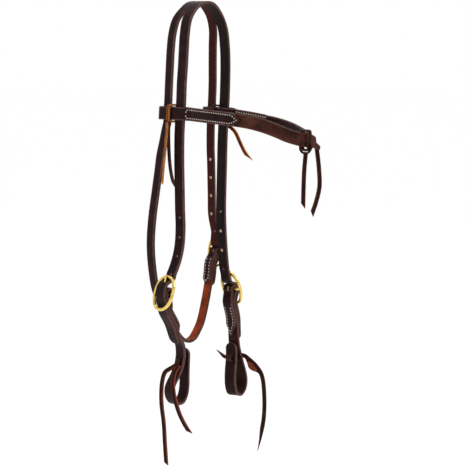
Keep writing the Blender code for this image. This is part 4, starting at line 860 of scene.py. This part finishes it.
def waxed_thread():
    """Linen thread, twisted and waxed: cream, with slanting strands and a dull shine."""
    finish, tree = fresh_finish("linen_thread_waxed")
    place = add(tree, "ShaderNodeTexCoord").outputs["Object"]
    # strands 0.25 mm thick, drawn at 0.6 mm
    strands = add(tree, "ShaderNodeTexWave", {"Vector": place, "Scale": 520.0,
                                              "Distortion": 2.0}, bands_direction="DIAGONAL")
    soil = add(tree, "ShaderNodeTexNoise", {"Vector": place, "Scale": 160.0, "Detail": 3.0})
    mixed = add(tree, "ShaderNodeMath", {0: strands.outputs[1], 1: soil.outputs[0]},
                operation="MULTIPLY")
    tinted = add(tree, "ShaderNodeMix", {0: mixed.outputs[0], 6: colour("#9c8f80"),
                                         7: colour("#efe6d6")}, data_type="RGBA")
    dull = add(tree, "ShaderNodeMapRange", {"Value": soil.outputs[0], "To Min": 0.5,
                                            "To Max": 0.75})
    relief = add(tree, "ShaderNodeBump", {"Height": strands.outputs[1], "Strength": 0.4,
                                          "Distance": 0.0002})
    close_finish(tree, {"Base Color": tinted.outputs[2], "Roughness": dull.outputs[0],
                        "Normal": relief.outputs[0], "Sheen Weight": 0.2})
    return finish


# The third colour of each grain is for its rims: lighter with wear and with a painted highlight
GRAIN = oiled_leather("bridle_leather_oiled_grain", "#160a0b", "#2a1213", "#6b4b46", 0.36, 0.5)
BROW_GRAIN = oiled_leather("browband_leather_oiled_grain", "#2a130f", "#4d2a20", "#5c3a2e", 0.42,
                           0.4)
FLESH = flesh_side("bridle_leather_slicked_flesh", "#150909", "#341711", 0.5)
CROWN_FLESH = flesh_side("bridle_leather_slicked_crown_flesh", "#120a0a", "#231413", 0.55,
                         "#380f0b")
BARE_FLESH = flesh_side("bridle_leather_bare_flesh", "#551c07", "#963c12", 0.55)
EDGE = burnished_edge("bridle_leather_burnished_edge", "#1f0e0d", "#624039", 0.38)
BROW_EDGE = burnished_edge("browband_leather_dyed_edge", "#22100d", "#4a2a21", 0.45)
RAW = burnished_edge("leather_punched_wall", "#94705a", "#dcc0a2", 0.7)
LACE = oiled_leather("lace_leather_oiled_grain", "#150907", "#2f1610", "#6b3418", 0.46, 0.5)
LACE_PALE = oiled_leather("lace_leather_undyed_grain", "#2a1108", "#6e3816", "#c07a35", 0.5, 0.4)
LACE_EDGE = burnished_edge("lace_leather_cut_edge", "#5e290e", "#cd8338", 0.6)
LACE_RED = burnished_edge("lace_leather_red_edge", "#3c120d", "#9c4429", 0.55)
LACE_DARK = burnished_edge("lace_leather_dyed_edge", "#1f0f0c", "#4a281c", 0.5)
BRASS = cast_brass()
THREAD = waxed_thread()

STRAP_FINISH = (GRAIN, FLESH, EDGE, EDGE)
CROWN_FINISH = (GRAIN, CROWN_FLESH, EDGE, RAW)
THROAT_FINISH = (GRAIN, BARE_FLESH, EDGE, EDGE)
BROW_FINISH = (BROW_GRAIN, GRAIN, BROW_EDGE, BROW_EDGE)
DARK_LACE = (LACE, LACE, LACE_DARK, LACE_RED)
RED_LACE = (LACE, LACE, LACE_RED, LACE_EDGE)
PALE_LACE = (LACE_PALE, LACE_PALE, LACE_EDGE, LACE_EDGE)


# Buckles


def rod(name, way, radius, sides, tip=0.0, step=1.6, turn=math.radians(12)):
    """A rod modelled straight and bent along its way. A tip, when asked for, is filed round at the
    far end.
    """
    bpy.ops.object.select_all(action="DESELECT")
    bpy.ops.mesh.primitive_cylinder_add(
        vertices=sides, radius=radius, depth=way.length, location=(way.length / 2, 0, 0),
        rotation=(0, math.pi / 2, 0), end_fill_type="NOTHING" if way.closed else "NGON")
    piece = bpy.context.object
    piece.name = name
    bpy.ops.object.transform_apply(location=True, rotation=True, scale=True)
    if tip:
        open_up(piece)
        pick(piece, "FACE", lambda face: face.normal.x > 0.9)
        bpy.ops.mesh.bevel(offset=radius * 0.45, segments=3)
        close_up()
    slice_across(piece, way.stations(0, way.length, step, turn)[1:-1])
    lay(piece, way, 1)
    if way.closed:
        close_seam(piece)
    return piece


class Buckle:
    """The middle of a centre bar buckle and its directions, in millimetres."""

    def __init__(self, side, middle, lean, width, height, wire, bar, setback, tongue):
        self.side = side
        self.outward = np.array((0, side * math.cos(lean), math.sin(lean)))
        self.upward = np.array((0, -side * math.sin(lean), math.cos(lean)))
        self.middle = np.array(middle)
        self.half_width = (width - wire) / 2
        self.half_height = (height - wire) / 2
        self.wire = wire
        self.bar = bar
        self.setback = setback
        self.tongue = tongue
        self.fold = bar / 2 + BAR_GAP + LEATHER / 2
        self.layer = LEATHER + LAYER_GAP

    def place(self, across, out, up):
        return self.middle + np.array((across, 0, 0)) + self.outward * out + self.upward * up

    def over_bar(self, up):
        """Where a strap lies between the inside of the frame's end and the outside of the bar."""
        at_frame = -(self.wire / 2 + FRAME_PLAY + LEATHER / 2)
        at_bar = self.fold - self.setback + self.layer
        share = min(abs(up) / (self.half_height * 0.9), 1.0)
        out = at_frame + (at_bar - at_frame) * (1 + math.cos(math.pi * share)) / 2
        return self.place(0, out, up)

    def billet_above(self):
        heights = (1.30, 1.12, 0.95, 0.78, 0.62, 0.46, 0.32, 0.18, 0.08)
        return [self.over_bar(share * self.half_height) for share in heights]

    def strap_below(self):
        """The strap's own layer from the bar down past the frame, under the billet."""
        outer = Way([self.over_bar(-self.half_height * number / 40) for number in range(-2, 37)])
        turned = outer.frames(np.zeros(1))[2][0].dot(self.outward)
        gap = -self.layer if turned > 0 else self.layer
        return outer.beside(outer.marks[2], outer.length, gap)[::4]

    def round_bar(self):
        """The half turn over the bar, from the inner side to the outer side."""
        turns = [math.pi * (1 - number / 14) for number in range(1, 14)]
        return [self.place(0, self.fold * math.cos(turn) - self.setback,
                           self.fold * math.sin(turn)) for turn in turns]

    def strap_layer(self, points):
        return Way(curve_through(self.strap_below() + points))

    def folded(self, layer, length):
        """The folded end: up the inner side, over the bar, then the strap's own layer."""
        lower = layer.beside(self.half_height * 0.85, length, self.side * self.layer, 16)
        upper = [self.place(0, -self.setback - self.fold, -self.fold * share)
                 for share in (0.6, 0.0)]
        chape = curve_through(lower[::-1] + upper, fine=5)
        return np.vstack((chape, self.round_bar(), layer.points))

    def ring(self):
        points = []
        for number in range(48):
            angle = math.tau * number / 48
            wide = math.copysign(abs(math.cos(angle)) ** 0.88, math.cos(angle))
            tall = math.copysign(abs(math.sin(angle)) ** 0.88, math.sin(angle))
            points.append(self.place(wide * self.half_width, 0, tall * self.half_height))
        return Way(curve_through(points, True), self.outward, closed=True)

    def crossbar(self):
        half = self.half_width - self.wire / 4
        inner = self.half_width - self.wire
        bend = self.setback
        spots = ((-half, 0), (-(half + inner) / 2, 0.6), (-inner, 1), (0, 1), (inner, 1),
                 ((half + inner) / 2, 0.6), (half, 0))
        return Way(curve_through([self.place(across, -bend * share, 0)
                                  for across, share in spots]), self.outward)

    def tongue_way(self):
        """Round the bar, then straight up to rest on the top of the ring."""
        radius = self.bar / 2 + BAR_GAP + self.tongue / 2
        tip_out = self.setback + self.wire / 2 + BAR_GAP + self.tongue / 2
        tip_up = self.half_height + self.wire * 0.35
        leave = math.atan2(tip_up, tip_out) - math.acos(radius / math.hypot(tip_out, tip_up))
        points = []
        for number in range(15):
            angle = leave - math.radians(285) * (1 - number / 14)
            points.append((radius * math.cos(angle), radius * math.sin(angle)))
        start = points[-1]
        for number in range(1, 7):
            share = number / 6
            points.append((start[0] + (tip_out - start[0]) * share,
                           start[1] + (tip_up - start[1]) * share))
        return Way(curve_through([self.place(0, out - self.setback, up) for out, up in points]))

    def make(self, name):
        ring = rod(name + "_ring", self.ring(), self.wire / 2, 20)
        bar = rod(name + "_bar", self.crossbar(), self.bar / 2, 16)
        frame_piece = joined([ring, bar], name + "_frame_brass")
        tongue = rod(name + "_tongue_brass", self.tongue_way(), self.tongue / 2, 14, tip=1.0)
        for piece, node in ((frame_piece, name + "_frame"), (tongue, name + "_tongue")):
            piece.data.materials.append(BRASS)
            smooth(piece, 50)
            settle(piece, node)


CHEEK_BUCKLE = (36.0, 47.0, 4.3, 3.5, 2.5, 2.7)
RIGHT_BUCKLE = Buckle(RIGHT, (CHEEK_CENTRE, -72.8, -366.0), math.radians(20), *CHEEK_BUCKLE)
LEFT_BUCKLE = Buckle(LEFT, (CHEEK_CENTRE, 48.8, -371.0), math.radians(18), *CHEEK_BUCKLE)
THROAT_BUCKLE = Buckle(LEFT, (-THROAT_BACK, 41.2, -324.0), math.radians(-6), 31.0, 42.0, 3.6, 3.0,
                       2.0, 2.3)
for buckle, name in ((RIGHT_BUCKLE, "right_cheek"), (LEFT_BUCKLE, "left_cheek"),
                     (THROAT_BUCKLE, "throat")):
    buckle.make(name + "_buckle")


# Straps


def strap(node, way, width, thick, face, finishes, head=SQUARE, foot=SQUARE, slots=(),
          lead=0.0, eyelet=None):
    """One strap from blank to place: cut, bevelled, punched, dressed and laid. It may start a
    little before its way, inside what holds it."""
    radius = EDGE_ROUND if thick == LEATHER else THONG_ROUND
    piece = strap_blank(node + "_leather", -lead, way.length, width, thick, head, foot)
    if eyelet:
        swell(piece, eyelet[0] - EYELET_EASE, eyelet[1] + EYELET_EASE)
    round_rims(piece, radius, kept=lambda edge: way.closed and on_cut(edge, way.length))
    punch(piece, (), [(*cut, 0) for cut in slots])
    if eyelet:
        for lift in (-1, 1):
            punch(piece, (), [eyelet], lift * (CUTTER / 2 + EYELET_FLOOR))
    inner = width / 2 - radius * 1.9
    slice_across(piece, way.stations(-lead, way.length)[1:-1], (-inner, inner))
    # the rims take the lighter worn colour, which is partly a painted highlight
    dress(piece, finishes, thick, lambda row: abs(row[1]) > inner + 0.05,
          lambda place: abs(place.y) < inner and 6 < place.x < way.length - 6)
    if way.closed:
        drop_ends(piece, way.length)
    lay(piece, way, face)
    if way.closed:
        close_seam(piece)
    smooth(piece)
    settle(piece, node)


def swell(piece, low, high):
    """Pushes one side of a thong out round its eyelet."""
    places = np.linspace(low, high, 13)
    slice_across(piece, places)
    open_up(piece)
    for place in places:
        pick(piece, "VERT", lambda corner: abs(corner.co.x - place) < 0.05 and corner.co.y < 0)
        out = EYELET_SWELL * math.sin(math.pi * (place - low) / (high - low)) ** 2
        bpy.ops.transform.translate(value=(0, -out, 0))
    close_up()


def on_cut(edge, length):
    middle = (edge.verts[0].co.x + edge.verts[1].co.x) / 2
    return middle < 0.01 or middle > length - 0.01


def drop_ends(piece, length):
    """Opens both ends of a strand that meets itself."""
    open_up(piece)
    pick(piece, "FACE", lambda face: abs(face.normal.x) > 0.9 and (
        face.calc_center_median().x < 0.01 or face.calc_center_median().x > length - 0.01))
    bpy.ops.mesh.delete(type="FACE")
    close_up()


RIGHT_LAYER = RIGHT_BUCKLE.strap_layer(cheek_points(RIGHT_BUCKLE, RIGHT_CHEEK_SHARES))
LEFT_LAYER = LEFT_BUCKLE.strap_layer(cheek_points(LEFT_BUCKLE, LEFT_CHEEK_SHARES))
THROAT_LAYER = THROAT_BUCKLE.strap_layer(
    [np.array((-back * THROAT_BACK, out * THROAT_REACH, -down * THROAT_DROP))
     for back, out, down in THROAT_SHARES])

RIGHT_CHEEK = RIGHT_BUCKLE.folded(RIGHT_LAYER, CHEEK_CHAPE)
LEFT_CHEEK = LEFT_BUCKLE.folded(LEFT_LAYER, CHEEK_CHAPE)
RIGHT_CHEEK_WAY = Way(rerouted(RIGHT_CHEEK, CHEEK_CENTRE, RIGHT, RIGHT_FOLD, 2, 1))
LEFT_CHEEK_WAY = Way(LEFT_CHEEK, later=(math.cos(BIT_TWIST), math.sin(BIT_TWIST), 0),
                     fade=BIT_TWIST_FADE)
THROAT_WAY = Way(THROAT_BUCKLE.folded(THROAT_LAYER, THROAT_CHAPE))
RIGHT_BROW_WAY = brow_way(RIGHT, RIGHT_BROW_SHARES, RIGHT_EAR, RIGHT_OVERLAY)
LEFT_BROW_WAY = brow_way(LEFT, LEFT_BROW_SHARES, LEFT_EAR, LEFT_OVERLAY)

CHEEK_POINT = ("point", 16)
BROW_POINT = ("point", 12)
BROW_TIP = ("narrow", NARROW_LENGTH)
strap("right_cheek_strap", RIGHT_CHEEK_WAY, CHEEK_WIDTH, LEATHER, 1, STRAP_FINISH,
      CHEEK_POINT, ("round",), RIGHT_CHEEK_SLOTS)
strap("left_cheek_strap", LEFT_CHEEK_WAY, CHEEK_WIDTH, LEATHER, -1, STRAP_FINISH,
      CHEEK_POINT, ("round",), LEFT_CHEEK_SLOTS)
strap("throat_strap", THROAT_WAY, REAR_WIDTH, LEATHER, -1, THROAT_FINISH,
      ("point", 8), slots=THROAT_SLOTS)
strap("browband_right_half", RIGHT_BROW_WAY, BROW_WIDTH, LEATHER, 1, BROW_FINISH,
      BROW_POINT, BROW_TIP)
strap("browband_left_half", LEFT_BROW_WAY, BROW_WIDTH, LEATHER, -1, BROW_FINISH,
      BROW_POINT, BROW_TIP)


# Thongs


def beside(place, forward=0.0, left=0.0, up=0.0):
    return place + np.array((forward, left, up))


def middle_of(node):
    low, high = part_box(node)
    return np.array((low + high) / 2) / MM


X_AXIS = (1, 0, 0)
BIT_ACROSS = (1, 0.2, 0)
KNOT_SIDE = np.cross(KNOT_FORWARD, (0, 0, 1))
SHORT_SLANT, LONG_SLANT = ("slant", 7), ("slant", 34)
EAR_SLANT, STUB_SLANT = ("slant", 12), ("slant", 14)

RIGHT_BIT, RIGHT_TIE = bit_loop(RIGHT_BUCKLE, RIGHT_CHEEK)
LEFT_BIT, LEFT_TIE = bit_loop(LEFT_BUCKLE, LEFT_CHEEK)
RIGHT_EAR_TIE, RIGHT_EAR_ROOT = ear_loop(RIGHT, RIGHT_EAR)
LEFT_EAR_TIE, LEFT_EAR_ROOT = ear_loop(LEFT, LEFT_EAR)
KNOT_TIE = rounded_loop(middle_of("brow_knot_wrap"), np.array(KNOT_FORWARD), np.array((0, 0, 1)),
                        KNOT_DEPTH, BROW_WIDTH / 2 + KNOT_EASE + THONG / 2)
for node, path, width, across, finishes in (
        ("right_bit_thong", RIGHT_BIT, BIT_THONG_WIDTH, X_AXIS, DARK_LACE),
        ("left_bit_thong", LEFT_BIT, BIT_THONG_WIDTH, X_AXIS, DARK_LACE),
        ("right_ear_thong", RIGHT_EAR_TIE, EAR_THONG_WIDTH, X_AXIS, PALE_LACE),
        ("left_ear_thong", LEFT_EAR_TIE, EAR_THONG_WIDTH, X_AXIS, DARK_LACE),
        ("brow_knot_wrap", KNOT_TIE, KNOT_WIDTH, KNOT_SIDE, DARK_LACE)):
    strap(node, Way(curve_through(path, True), across, closed=True), width, THONG, 1, finishes)

TIE_ASIDE = BIT_TIE_WIDTH * 0.55
TIE_OUT = THONG * 0.4
TIE_DROP = THONG / 2 + END_GAP
LEFT_TIE_HALF = BIT_TIE_WIDTH / 2 + END_GAP
RING_FOOT = KNOT_RING * 0.95 + THONG * 0.55 + END_GAP
TIP_DROP = BROW_WIDTH / 2 * 0.65 + END_GAP * 1.8
RIGHT_LOW = RIGHT_TIE[2]
LEFT_OUT = (LEFT_TIE[0] + LEFT_TIE[2]) / 2
LEFT_IN = (LEFT_TIE[1] + LEFT_TIE[3]) / 2
BROW_TIP_PLACE = RIGHT_BROW_WAY.point(np.array([RIGHT_BROW_WAY.length - NARROW_LENGTH * 0.3]))[0]
for node, side, root, end, width, across, foot, finishes, lead, eyelet in (
        ("right_bit_thong_front_end", RIGHT, beside(RIGHT_LOW, TIE_ASIDE, -TIE_OUT, -TIE_DROP),
         RIGHT_FRONT_END, BIT_THONG_WIDTH, BIT_ACROSS, SHORT_SLANT, RED_LACE, 1.6, None),
        ("right_bit_thong_rear_end", RIGHT, beside(RIGHT_LOW, -TIE_ASIDE, -TIE_OUT, -TIE_DROP),
         RIGHT_REAR_END, BIT_THONG_WIDTH, BIT_ACROSS, ("slant", 4), RED_LACE, 0.4, None),
        ("left_bit_thong_long_end", LEFT, beside(LEFT_OUT, LEFT_TIE_HALF, THONG * 0.8),
         LEFT_LONG_END, BIT_THONG_WIDTH, (0.5, 0.5, 0.7), LONG_SLANT, DARK_LACE, 2.5, EYELET),
        ("left_bit_thong_short_end", LEFT, beside(LEFT_IN, -LEFT_TIE_HALF), LEFT_SHORT_END,
         SHORT_THONG_WIDTH, (0, 0, 1), STUB_SLANT, DARK_LACE, 2, None),
        ("right_ear_thong_outer_end", RIGHT, beside(RIGHT_EAR_ROOT, left=-EAR_END_GAP / 2),
         EAR_OUTER_END, EAR_THONG_WIDTH, (1, -0.4, 0), EAR_SLANT, PALE_LACE, 0.5, None),
        ("right_ear_thong_inner_end", RIGHT, beside(RIGHT_EAR_ROOT, left=EAR_END_GAP / 2),
         EAR_INNER_END, EAR_THONG_WIDTH, X_AXIS, EAR_SLANT, DARK_LACE, 2, None),
        ("left_ear_thong_end", LEFT,
         beside(LEFT_EAR_ROOT, EAR_TIE_WIDTH * 0.3, up=-EAR_TIE_WIDTH * 0.2), EAR_LEFT_END,
         EAR_THONG_WIDTH, (0.6, 0.3, 0.7), STUB_SLANT, PALE_LACE, 2, None),
        ("knot_tail_right", LEFT, beside(middle_of("brow_knot_loop"), up=-RING_FOOT),
         RIGHT_TAIL, TAIL_WIDTH, (0.8, 0.6, 0), SHORT_SLANT, DARK_LACE, 4, None),
        ("knot_tail_left", LEFT, beside(BROW_TIP_PLACE, up=-TIP_DROP), LEFT_TAIL, TAIL_WIDTH,
         (0.6, 0.8, 0), SHORT_SLANT, DARK_LACE, 5, None)):
    strap(node, Way(free_end(root, side, end), across), width, THONG, 1, finishes,
          foot=foot, lead=lead, eyelet=eyelet)


# The crown


def crown():
    """Two cheek billets, a throat billet and a rear leg, slit from one wide strap."""
    front, left_rear, right_rear = crown_ways(RIGHT_LAYER, LEFT_LAYER, THROAT_LAYER)
    crest = front.marks[np.argmin(np.linalg.norm(front.points - CROWN_TOP, axis=1))]
    rear_start, rear_end = crest - right_rear.length, crest + left_rear.length
    seam_start, seam_end = crest - CROWN_RIGHT, crest + CROWN_LEFT
    inner_edge, outer_edge = CHEEK_WIDTH / 2, REAR_ASIDE + REAR_WIDTH / 2

    def punched(edge):
        middle = (edge.verts[0].co + edge.verts[1].co) / 2
        return ((abs(middle.y) < 5 and 20 < middle.x < front.length - 20)
                or (abs(middle.y - REAR_ASIDE) < 4 and rear_start + 10 < middle.x < rear_end - 18))

    piece = strap_blank("crown_strap_leather", 0, front.length, CHEEK_WIDTH - SLIT_GAP, LEATHER,
                        ("round",), ("round",), -SLIT_GAP / 2)
    rear = strap_blank("rear", rear_start, rear_end, REAR_WIDTH - SLIT_GAP, LEATHER,
                       SQUARE, ("round",), REAR_ASIDE + SLIT_GAP / 2)
    middle = strap_blank("middle", seam_start, seam_end, 2.0, LEATHER, side=inner_edge)
    boolean(piece, rear, "UNION")
    boolean(piece, middle, "UNION")
    holes = [(place, 0) for place in RIGHT_BILLET_HOLES + LEFT_BILLET_HOLES]
    holes += [(crest + place, REAR_ASIDE) for place in THROAT_BILLET_HOLES]
    low, high = THROAT_BILLET_SLOT
    punch(piece, holes, ((*RIGHT_BILLET_SLOT, CHEEK_SLOT, 0), (*LEFT_BILLET_SLOT, CHEEK_SLOT, 0),
                         (crest + low, crest + high, THROAT_SLOT, REAR_ASIDE)))
    round_rims(piece, EDGE_ROUND, kept=punched)
    places = list(front.stations(0, front.length)[1:-1])
    places += [crest + place for place in left_rear.stations(CROWN_LEFT, left_rear.length)]
    places += [crest - place for place in right_rear.stations(CROWN_RIGHT, right_rear.length)]
    kept = []
    for place in sorted(places):
        if not kept or place - kept[-1] > 0.5:
            kept.append(place)
    lines = (-inner_edge + 1.9, inner_edge - 2.2, inner_edge, inner_edge + 2.2,
             outer_edge - 1.9)
    slice_across(piece, kept, lines)

    # the rims and the slit's edges, which take the lighter worn colour with its painted highlight
    def near_rim(row):
        if row[1] < lines[0] - 0.05 or row[1] > lines[4] + 0.05:
            return 1.0
        split = not seam_start < row[0] < seam_end and rear_start < row[0] < rear_end
        return 1.0 if split and lines[1] + 0.05 < row[1] < lines[3] - 0.05 else 0.0

    pale = holes[PALE_LEFT] + holes[PALE_THROAT]

    def pale_wall(place):
        return any(abs(place.x - along) < HOLE and abs(place.y - side) < HOLE
                   for along, side in pale)

    dress(piece, CROWN_FINISH, LEATHER, near_rim, pale_wall)
    flat = flat_places(piece)
    placed = front.place(flat, -1)
    aside = flat - np.array([crest, REAR_ASIDE, 0])
    to_left = left_rear.place(aside, -1)
    point, wide, normal = right_rear.frames(-aside[:, 0])
    to_right = (point - (wide * aside[:, 1:2] - normal * aside[:, 2:3])) * MM
    for leg, way_out in ((to_left, (flat[:, 0] - crest) / CROWN_LEFT),
                         (to_right, (crest - flat[:, 0]) / CROWN_RIGHT)):
        share = np.clip(way_out * 1.3 - 0.3, 0, 1)[:, None]
        share[flat[:, 1] < inner_edge] = 0
        placed = placed * (1 - share) + leg * share
    piece.data.vertices.foreach_set("co", placed.ravel())
    piece.data.update()
    smooth(piece)
    settle(piece, "crown_strap")


crown()


# Stitching


def stitch_model():
    """One stitch, a short fat strand pulled down at both ends."""
    bpy.ops.object.select_all(action="DESELECT")
    bpy.ops.mesh.primitive_cube_add(size=1)
    stitch = bpy.context.object
    bpy.ops.transform.resize(value=THREAD_SIZE)
    bpy.ops.object.transform_apply(location=True, rotation=True, scale=True)
    bpy.ops.object.mode_set(mode="EDIT")
    bpy.ops.mesh.select_all(action="SELECT")
    bpy.ops.mesh.bevel(offset=THREAD_SIZE[2] * 0.42, segments=2)
    bpy.ops.mesh.select_all(action="SELECT")
    bpy.ops.mesh.bisect(plane_co=(0, 0, 0), plane_no=(1, 0, 0))
    close_up()
    stitch.name = "stitch"
    return stitch


def row_places(corners):
    """Evenly pitched places and headings along a line of corners on the flat strap."""
    corners = np.array(corners, float)
    lengths = np.linalg.norm(np.diff(corners, axis=0), axis=1)
    marks = np.append(0, np.cumsum(lengths))
    count = max(1, int(marks[-1] / THREAD_PITCH))
    found = []
    for number in range(count):
        place = (number + 0.5) * marks[-1] / count
        index = min(int(np.searchsorted(marks, place)) - 1, len(lengths) - 1)
        step = corners[index + 1] - corners[index]
        middle = corners[index] + step * (place - marks[index]) / lengths[index]
        found.append((middle, math.atan2(step[1], step[0])))
    return found


def sew(node, way, face, top, rows, model):
    """Copies the one stitch along rows on the top, 1, or the underside, -1, of a strap."""
    made = []
    for corners in rows:
        for (along, side), heading in row_places(corners):
            stitch = model.copy()
            stitch.data = model.data.copy()
            bpy.context.scene.collection.objects.link(stitch)
            flat = flat_places(stitch)
            flat[:, 2] -= (flat[:, 0] / THREAD_SIZE[0] * 2) ** 2 * THREAD_PULL
            turned = flat.copy()
            slant = heading + THREAD_SLANT
            turned[:, 0] = flat[:, 0] * math.cos(slant) - flat[:, 1] * math.sin(slant) + along
            turned[:, 1] = flat[:, 0] * math.sin(slant) + flat[:, 1] * math.cos(slant) + side
            turned[:, 2] = (LEATHER / 2 + THREAD_LIFT + flat[:, 2]) * top
            if top < 0:
                stitch.data.flip_normals()
            stitch.data.vertices.foreach_set("co", way.place(turned, face).ravel())
            made.append(stitch)
    piece = joined(made, node + "_thread")
    piece.data.materials.append(THREAD)
    smooth(piece, 60)
    settle(piece, node)


def pointed_row(tip, shoulder, end, half):
    """A row that comes up one side, turns at the pointed end and goes back down the other."""
    side = half - THREAD_INSET
    return ((end, side), (shoulder, side), (tip, 0), (shoulder, -side), (end, -side))


def two_rows(low, high, side):
    return ((low, side), (high, side)), ((low, -side), (high, -side))


STITCH = stitch_model()
CHEEK_ROW = (pointed_row(3.8, 16.5, 41, CHEEK_WIDTH / 2),)
THROAT_ROW = (pointed_row(3.8, 8.5, 35, REAR_WIDTH / 2),)
SIDE = BROW_WIDTH / 2 - THREAD_INSET
sew("right_cheek_stitches", RIGHT_CHEEK_WAY, 1, 1, CHEEK_ROW, STITCH)
sew("left_cheek_stitches", LEFT_CHEEK_WAY, -1, 1, CHEEK_ROW, STITCH)
sew("throat_stitches", THROAT_WAY, -1, 1, THROAT_ROW, STITCH)
for half, way, face, end, inner in (("right", RIGHT_BROW_WAY, 1, 95, (209.2, 291.1)),
                                    ("left", LEFT_BROW_WAY, -1, 58, (177.4, 228.2))):
    sew("browband_" + half + "_outer_stitches", way, face, -1,
        (pointed_row(4.2, 13, end, BROW_WIDTH / 2), ((end, SIDE), (end, -SIDE))), STITCH)
    sew("browband_" + half + "_inner_stitches", way, face, -1, two_rows(*inner, SIDE), STITCH)
bpy.data.objects.remove(STITCH)


# The ring of the brow knot


def knot_ring():
    middle = middle_of("brow_knot_loop")
    points = []
    for number in range(20):
        angle = math.tau * number / 20
        points.append(middle + KNOT_SIDE * KNOT_RING * math.cos(angle)
                      + np.array((0, 0, KNOT_RING_TALL)) * math.sin(angle))
    way = Way(curve_through(points, True), KNOT_FORWARD, closed=True)
    piece = rod("brow_knot_loop_lace", way, THONG * 0.55, 12)
    piece.data.materials.append(LACE)
    lie = piece.data.attributes.new("lie", "FLOAT_VECTOR", "POINT")
    lie.data.foreach_set("vector", (flat_places(piece) / MM).ravel())
    smooth(piece, 60)
    settle(piece, "brow_knot_loop")


knot_ring()


# Stage


def pointed(name, data, place, aim):
    """Puts a lamp or a camera at a place, looking at its aim."""
    made = bpy.data.objects.new(name, data)
    bpy.context.scene.collection.objects.link(made)
    heading = Vector(aim) - Vector(place)
    made.matrix_world = Matrix.Translation(place) @ heading.to_track_quat(
        "-Z", "Y").to_matrix().to_4x4()
    return made


def stage():
    bpy.ops.object.select_all(action="DESELECT")
    bpy.ops.mesh.primitive_plane_add(size=FLOOR_SIZE, location=(0, 0, -FLOOR_DROP))
    floor = bpy.context.object
    floor.name = "floor"
    finish, tree = fresh_finish("painted_floor")
    place = add(tree, "ShaderNodeTexCoord").outputs["Object"]
    clouds = add(tree, "ShaderNodeTexNoise", {"Vector": place, "Scale": 3.0})
    dull = add(tree, "ShaderNodeMapRange", {"Value": clouds.outputs[0], "To Min": 0.75,
                                            "To Max": 0.9})
    close_finish(tree, {"Base Color": colour("#ffffff"), "Roughness": dull.outputs[0]})
    floor.data.materials.append(finish)

    world = bpy.data.worlds.new("studio")
    bpy.context.scene.world = world
    world.use_nodes = True
    world.node_tree.nodes["Background"].inputs["Color"].default_value = (1, 1, 1, 1)
    world.node_tree.nodes["Background"].inputs["Strength"].default_value = 1.0

    for name, place, size, power in LAMPS:
        light = bpy.data.lights.new(name, "AREA")
        light.size = size
        light.energy = power
        pointed(name, light, place, LAMP_AIM)

    eye = bpy.data.cameras.new("camera")
    eye.lens = CAMERA_LENS
    eye.sensor_width = CAMERA_SENSOR
    bpy.context.scene.camera = pointed("camera", eye, CAMERA_PLACE, CAMERA_AIM)
    bpy.context.scene.view_settings.view_transform = "Standard"


stage()
